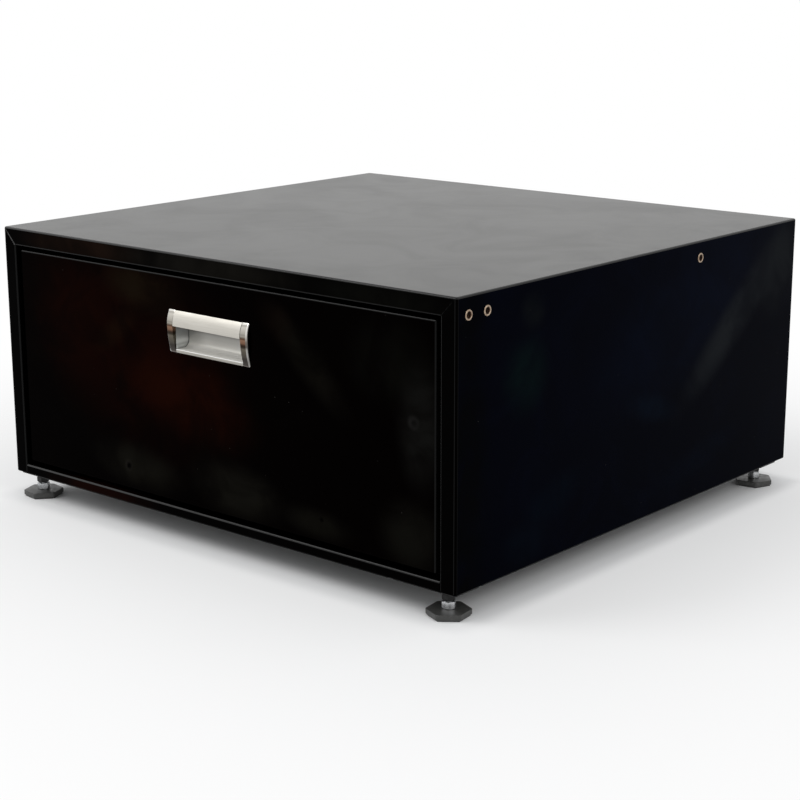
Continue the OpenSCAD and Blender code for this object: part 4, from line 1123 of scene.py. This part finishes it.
def base_rows(turn):
    """The six-sided base: drawn-in lower rim, upright sides with eased corners, sloping top."""
    def sides(radius, eased=0.0006):
        edge = flats(6, radius * cos(pi / 6), turn + pi / 6)
        return lambda a: min(edge(a), radius - eased)
    return [(pad_t, sides(foot_r - 0.0014)), (pad_t + 0.0004, sides(foot_r - 0.0008)),
            (pad_t + 0.0008, sides(foot_r - 0.0003)),
            (pad_t + 0.0012, sides(foot_r)), (base_top - 0.0011, sides(foot_r)),
            (base_top - 0.0008, sides(foot_r - 0.0003)),
            (base_top - 0.0006, sides(foot_r - 0.0012)), (base_top - 0.0001, sides(0.011, 0.0)),
            (base_top, lambda a: 0.0078)]


# The stud's thread: a ridge that follows a spiral round the core.
thread_tree, thread_in, thread_out = socket_tree(
    "stud_thread",
    [("Core radius", "Float"), ("Pitch", "Float"), ("Turns", "Float"), ("Ridge", "Float"),
     ("Plate", "Material")])
thread_height = thread_tree.nodes.new("ShaderNodeMath")
thread_height.operation = "MULTIPLY"
thread_spiral = thread_tree.nodes.new("GeometryNodeCurveSpiral")
thread_spiral.inputs["Resolution"].default_value = 28
thread_ridge = thread_tree.nodes.new("GeometryNodeCurvePrimitiveCircle")
thread_ridge.inputs["Resolution"].default_value = 3
thread_sweep = thread_tree.nodes.new("GeometryNodeCurveToMesh")
thread_sweep.inputs["Fill Caps"].default_value = True
thread_join = thread_tree.nodes.new("GeometryNodeJoinGeometry")
thread_realize = thread_tree.nodes.new("GeometryNodeRealizeInstances")
thread_plate = thread_tree.nodes.new("GeometryNodeSetMaterial")
wired(thread_tree,
      (thread_in, "Turns", thread_height, 0),
      (thread_in, "Pitch", thread_height, 1),
      (thread_in, "Turns", thread_spiral, "Rotations"),
      (thread_in, "Core radius", thread_spiral, "Start Radius"),
      (thread_in, "Core radius", thread_spiral, "End Radius"),
      (thread_height, 0, thread_spiral, "Height"),
      (thread_in, "Ridge", thread_ridge, "Radius"),
      (thread_spiral, "Curve", thread_sweep, "Curve"),
      (thread_ridge, "Curve", thread_sweep, "Profile Curve"),
      (thread_sweep, "Mesh", thread_join, "Geometry"),
      (thread_in, "Geometry", thread_join, "Geometry"),
      (thread_join, "Geometry", thread_realize, "Geometry"),
      (thread_realize, "Geometry", thread_plate, "Geometry"),
      (thread_in, "Plate", thread_plate, "Material"),
      (thread_plate, "Geometry", thread_out, "Geometry"))

for corner, s, foot_y in corners:
    stands_at = Matrix.Translation((s * foot_x, foot_y, 0))
    base_bm = bmesh.new()
    lathe(base_rows(front_right_turn if corner == "front_right" else s * foot_turn), 180)(base_bm)
    base_bm.transform(stands_at)
    base = smoothed(as_piece(corner + "_foot_base_moulding", base_bm, [foot_plastic]), 24)
    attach(base, corner + "_foot")
    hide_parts(corner + "_foot_base")

    repainted(corner + "_foot_pad", pad_rubber)

    stud_bm = bmesh.new()
    thread_z = hex_z + hex_h
    lathe(hexagon_rows(hex_z, hex_z + hex_h, hex_af), 72)(stud_bm)
    rod((0, 0, base_top - 0.002), (0, 0, stud_top), stud_r - 0.0006, 28)(stud_bm)
    stud_bm.transform(Matrix.Translation((0, 0, -thread_z)))
    stud = as_piece(corner + "_foot_stud_thread", stud_bm, [bright_zinc])
    grown(stud, thread_tree, Core_radius=stud_r - 0.00045, Pitch=pitch,
          Turns=(stud_top - 0.0008 - thread_z) / pitch,
          Ridge=0.00042, Plate=bright_zinc)
    stud.data.transform(stands_at @ Matrix.Translation((0, 0, thread_z)))
    smoothed(stud, 30)
    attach(stud, corner + "_stud")
    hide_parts(corner + "_foot_stud")

weld_nuts_bm = bmesh.new()
weld_nut = lathe(hexagon_rows(nut_z, nut_top, hex_af), 72)
stud_places = [(s * foot_x, y) for s in (-1, 1) for y in (front_foot_y, rear_foot_y)]
for x, y in stud_places:
    moved(weld_nut, x, y)(weld_nuts_bm)
weld_nuts = as_piece("bracket_weld_nuts", weld_nuts_bm, [bracket_paint])
cut_through(weld_nuts, [rod((x, y, nut_z - 0.001), (x, y, nut_top + 0.001), stud_r + 0.00005, 48)
                        for x, y in stud_places])
smoothed(weld_nuts, 30)
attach(weld_nuts, "cabinet")
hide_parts("foot_weld_nuts")


# ---- Rivet nuts ----
# Yellow-zinc inserts with an M6 thread, set in the sides before painting: two
# near the front and one towards the back of each side.

rivet_bore_r, rivet_barrel_r, rivet_flange_r, rivet_flange_t = 0.003, rivet_hole_r, 0.0055, 0.0009

yellow_zinc = mottled("yellow_zinc", (420.0, 4.0, 0.6, 0.6), (0.35, 0.7), (0.26, 0.185, 0.13),
                      (0.46, 0.37, 0.28), None, 0.28, 0.45, (1100.0, 2.0, 0.15, 0.00006), Metallic=1.0)
# The bores are given a dark brown tone.
dark_bore = mottled("oiled_bore", (500.0, 3.0), (0.35, 0.7), (0.012, 0.004, 0.001), (0.06, 0.022, 0.006),
                    (300.0, 2.0), 0.35, 0.6, (1500.0, 2.0, 0.2, 0.00006), Metallic=0.6)

# Like parts set on points: each turns its own axis to the point's direction, and
# a fixed seed turns it about that axis.
set_tree, set_in, set_out = socket_tree(
    "parts_on_points",
    [("Part", "Object"), ("Size", "Float"), ("Most turn", "Float"), ("Seed", "Int"), ("Metal", "Material")])
set_part = set_tree.nodes.new("GeometryNodeObjectInfo")
set_facing = set_tree.nodes.new("GeometryNodeInputNamedAttribute")
set_facing.data_type = "FLOAT_VECTOR"
set_facing.inputs["Name"].default_value = "facing"
set_align = set_tree.nodes.new("FunctionNodeAlignRotationToVector")
set_align.axis = "Z"
set_random = set_tree.nodes.new("FunctionNodeRandomValue")
set_random.data_type = "FLOAT"
set_spin = set_tree.nodes.new("FunctionNodeAxisAngleToRotation")
set_turn = set_tree.nodes.new("FunctionNodeRotateRotation")
set_turn.rotation_space = "LOCAL"
set_instances = set_tree.nodes.new("GeometryNodeInstanceOnPoints")
set_realize = set_tree.nodes.new("GeometryNodeRealizeInstances")
set_metal = set_tree.nodes.new("GeometryNodeSetMaterial")
wired(set_tree,
      (set_in, "Part", set_part, "Object"),
      (set_facing, "Attribute", set_align, "Vector"),
      (set_in, "Most turn", set_random, 3),
      (set_in, "Seed", set_random, "Seed"),
      (set_random, 1, set_spin, "Angle"),
      (set_align, "Rotation", set_turn, "Rotation"),
      (set_spin, "Rotation", set_turn, "Rotate By"),
      (set_in, "Geometry", set_instances, "Points"),
      (set_part, "Geometry", set_instances, "Instance"),
      (set_turn, "Rotation", set_instances, "Rotation"),
      (set_in, "Size", set_instances, "Scale"),
      (set_instances, "Instances", set_realize, "Geometry"),
      (set_realize, "Geometry", set_metal, "Geometry"),
      (set_in, "Metal", set_metal, "Material"),
      (set_metal, "Geometry", set_out, "Geometry"))


def parts_on_points(name, part, places, metal, most_turn=0.0, seed=1, angle=32):
    """Copies of one part at places (point, direction of its own Z), as one piece."""
    mesh = bpy.data.meshes.new(name)
    mesh.from_pydata([p for p, d in places], [], [])
    facing = mesh.attributes.new("facing", "FLOAT_VECTOR", "POINT")
    facing.data.foreach_set("vector", [c for p, d in places for c in d])
    piece = in_scene(name, mesh)
    grown(piece, set_tree, Part=part, Size=1.0, Most_turn=most_turn, Seed=seed, Metal=metal)
    return smoothed(piece, angle)


def turned_part(name, rows, sides=40, hole=()):
    """A part turned round the Z axis from rows (z, radius); rows for a hole open it through the middle."""
    bm = bmesh.new()
    lathe(rows + list(reversed(hole)), sides, bool(hole))(bm)
    return as_piece(name, bm, [])


thread_rows = [(-0.012 + 0.001 * i + 0.0005 * k,
                rivet_bore_r + 0.0003 * k) for i in range(11) for k in (0, 1)]
rivet_part = turned_part(
    "rivet_part",
    [(-0.0122, rivet_barrel_r - 0.0003), (-0.0119, rivet_barrel_r), (0.0, rivet_barrel_r),
     (0.0, rivet_flange_r - 0.0002), (0.0003, rivet_flange_r), (0.0006, rivet_flange_r - 0.0002),
     (rivet_flange_t, rivet_flange_r - 0.0008), (rivet_flange_t, rivet_bore_r + 0.0011),
     (rivet_flange_t - 0.0003, rivet_bore_r + 0.0007)],
    48, [(-0.0122, rivet_bore_r)] + thread_rows + [(rivet_flange_t - 0.001, rivet_bore_r)])
side_rivet_nuts = parts_on_points(
    "side_rivet_nut_set", rivet_part,
    [((s * half_w, y, z), (s, 0, 0)) for s in (-1, 1) for y, z in rivet_places],
    yellow_zinc)
bpy.data.objects.remove(rivet_part)
dark_slot = len(side_rivet_nuts.data.materials)
side_rivet_nuts.data.materials.append(dark_bore)
for face in side_rivet_nuts.data.polygons:
    if any(hypot(face.center.y - y, face.center.z - z) < rivet_bore_r + 0.00085 for y, z in rivet_places):
        face.material_index = dark_slot
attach(side_rivet_nuts, "cabinet")
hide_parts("side_rivet_nuts")


# ---- Screws ----
# Zinc-plated sheet-metal screws with a pan head and a cross recess. They hold
# the back panel, the drawer's front and back, the slides and the handle.

screw_r, screw_head_r, screw_head_h = 0.0017, 0.0032, 0.0016


def pan_screw(shank_l):
    """A screw whose head stands on the plane Z = 0 and whose shank goes down from it."""
    head = [(-shank_l, 0.0006), (-shank_l + 0.0012, screw_r - 0.0002), (-0.0001, screw_r - 0.0002),
            (0.0, screw_head_r - 0.0001),
            (0.0003, screw_head_r), (0.0008, screw_head_r - 0.0001), (0.0012, screw_head_r - 0.0005),
            (0.00148, screw_head_r - 0.0011), (screw_head_h, screw_head_r - 0.0019)]
    part = turned_part("screw_part", head, 28)
    for long, broad in ((0.0018, 0.00032), (0.00032, 0.0018)):
        cut_through(part, [box_between((-long, -broad, 0.0006), (long, broad, 0.002))])
    return part


back_y = half_d - sheet_t
side_screw_z = [box_z + 0.05 + i * 0.1 for i in range(3)]
back_places = [((s * (half_w - sheet_t - 0.008), half_d, z),
                (0, 1, 0)) for s in (-1, 1) for z in side_screw_z]
back_places += [((x, half_d, top_z - sheet_t - 0.008), (0, 1, 0)) for x in (-0.206, 0, 0.206)]
back_places += [((x, back_y, box_z + 0.011), (0, 1, 0)) for x in (-0.206, 0, 0.206)]

slide_x, slide_z, slide_y0, slide_l = 0.322, 0.12, -0.296, 0.545
slide_screw_y = [slide_y0 + 0.06 + i * (slide_l - 0.12) / 2 for i in range(3)]
flange_mid = front_half - front_flange + 0.0035
front_screw_z = (tray_z0 + 0.04, tray_z1 - 0.04)
top_screw_z = front_z1 - front_flange / 2
back_wall_y = tray_y1 - 0.007
back_screw_z = (slide_z - 0.02285 - 0.017, tray_z1 - 0.04)

for name, node_name, body, shank_l, places in (
        ("back_panel_screw_set", "back_panel_screws", "cabinet", 0.006, back_places),
        ("drawer_front_screw_set", "drawer_front_screws", "drawer", 0.006,
         [((s * flange_mid, tray_y0 + tray_t, z), (0, 1, 0)) for s in (-1, 1) for z in front_screw_z]
         + [((x, tray_y0, top_screw_z), (0, 1, 0)) for x in (-0.261, -0.087, 0.087, 0.261)]),
        ("drawer_back_screw_set", "drawer_back_screws", "drawer", 0.004,
         [((s * tray_half, back_wall_y, z), (s, 0, 0)) for s in (-1, 1) for z in back_screw_z]),
        ("drawer_slide_screw_set", "drawer_slide_screws", "drawer", 0.0037,
         [((s * (tray_half + 0.0012), y, slide_z), (s, 0, 0)) for s in (-1, 1) for y in slide_screw_y]),
        ("handle_screw_set", "handle_screws", "drawer", 0.0034,
         [((s * (cap_x + 0.006), front_y + sheet_t, handle_foot_z + h), (0, 1, 0))
          for s in (-1, 1) for h in (0.014, 0.038)])):
    screw_part = pan_screw(shank_l)
    screws = parts_on_points(name, screw_part, places, bright_zinc, pi, 7)
    bpy.data.objects.remove(screw_part)
    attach(screws, body)
    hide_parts(node_name)

repainted("slide_mount_screws", bright_zinc)


# ---- Slides ----
# Telescopic ball-bearing slides from zinc-plated strip 1.2 mm thick: an outer
# member on the cabinet's channel, a middle one and an inner one on the drawer,
# with two rows of balls in a cage between each pair.

member_t = 0.0012
zinc_strip = Finish("zinc_plated_strip").set(Metallic=1.0)
rolled = zinc_strip.noise(1.0, 5.0, 0.65, 0.0, zinc_strip.turned(scale=(0.002, 0.09, 0.0012)))
zinc_strip.tone(zinc_strip.blend(zinc_strip.spread(rolled, 0.3, 0.7), (0.4, 0.41, 0.42),
                                 (0.6, 0.61, 0.61)))
zinc_strip.gloss(zinc_strip.noise(35.0, 4.0), 0.3, 0.7, 0.24, 0.42)
zinc_strip.bump(rolled, 0.1, 0.0001)

members = (
    ("outer", "cabinet", 0.5503, [(0.0095, 0.02, 0), (0.0095, 0.02285, 0.0012), (0.0, 0.02285, 0.0022),
                                  (0.0, -0.02285, 0.0022), (0.0095, -0.02285, 0.0012),
                                  (0.0095, -0.02, 0)]),
    ("middle", None, slide_l, [(0.0109, 0.0155, 0), (0.0109, 0.01835, 0.0012), (0.0023, 0.01835, 0.0018),
                               (0.0023, -0.01835, 0.0018), (0.0109, -0.01835, 0.0012),
                               (0.0109, -0.0155, 0)]),
    ("inner", "drawer", slide_l, [(0.0046, 0.01385, 0), (0.0127, 0.01385, 0.0016),
                                  (0.0127, -0.01385, 0.0016), (0.0046, -0.01385, 0)]))
for side_name, s in (("left", -1), ("right", 1)):
    for member, body, length, section in members:
        web_x = slide_x - (0.0127 if member == "inner" else section[2][0])
        slots = [rod((s * (web_x - 0.003), slide_y0 + d, slide_z + v),
                     (s * (web_x + 0.003), slide_y0 + d, slide_z + v), 0.0024, 20)
                 for d, v in ((0.03, 0.0), (0.11, 0.006), (0.2, -0.006), (0.345, 0.006), (0.42, -0.006),
                       (0.515, 0.0))]
        if member == "outer":
            slots += [rod((s * (slide_x - 0.0015), y, slide_z), (s * (slide_x + 0.001), y, slide_z), 0.0026,
                          20)
                      for y in slide_screw_y]
        piece = folded_strip(
            "%s_slide_%s_strip" % (side_name, member),
            [(s * (slide_x - u), slide_y0, slide_z + v, fold) for u, v, fold in section], (0, length, 0),
            member_t,
            zinc_strip.material, (s * (slide_x - (0.007 if member != "inner" else 0.006)), 0, slide_z), 5,
            slots)
        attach(piece, body or side_name + "_middle_member")
        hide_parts("%s_slide_%s" % (side_name, member))

cage_steel = mottled("cage_strip", (130.0, 4.0, 0.6), None, (0.3, 0.31, 0.32), (0.48, 0.49, 0.49),
                     None, 0.35, 0.5, (900.0, 2.0, 0.1, 0.00005), Metallic=1.0)
ball_steel = mottled("ball_steel", (600.0, 3.0), None, (0.62, 0.63, 0.64), (0.74, 0.75, 0.76),
                     (500.0, 3.0), 0.08, 0.18, (1600.0, 1.0, 0.04, 0.00002), Metallic=1.0)

ball_r, cage_y0, cage_l, ball_count = 0.0016, slide_y0 + 0.127, 0.29, 8
ball_bm = bmesh.new()
bmesh.ops.create_uvsphere(ball_bm, u_segments=20, v_segments=12, radius=ball_r)
ball_part = as_piece("ball_part", ball_bm, [])
for side_name, s in (("left", -1), ("right", 1)):
    for row, u, v in (("outer", 0.0049, 0.02), ("inner", 0.0072, 0.0155)):
        spots = [((s * (slide_x - u), cage_y0 + 0.01 + i * (cage_l - 0.02) / (ball_count - 1),
                   slide_z + k * v), (0, 0, 1))
                 for k in (-1, 1) for i in range(ball_count)]
        balls = parts_on_points("%s_%s_ball_row" % (side_name, row), ball_part, spots, ball_steel, pi,
                                3)
        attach(balls, "%s_%s_ball_cage" % (side_name, row))
        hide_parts("%s_%s_balls" % (side_name, row))
        repainted("%s_%s_cage" % (side_name, row), cage_steel)
bpy.data.objects.remove(ball_part)

repainted("slide_stops", pad_rubber)


# ---- Inner frame and panels ----
# Corner posts, channels for the slides, the ribs under the top and the panels
# that close the back and the bottom, all in the same black paint.

for node_name in ("front_left_post", "front_right_post", "rear_left_post", "rear_right_post", "top_ribs",
                  "left_slide_support", "right_slide_support", "back_panel", "bottom_panel"):
    repainted(node_name, inner_paint)
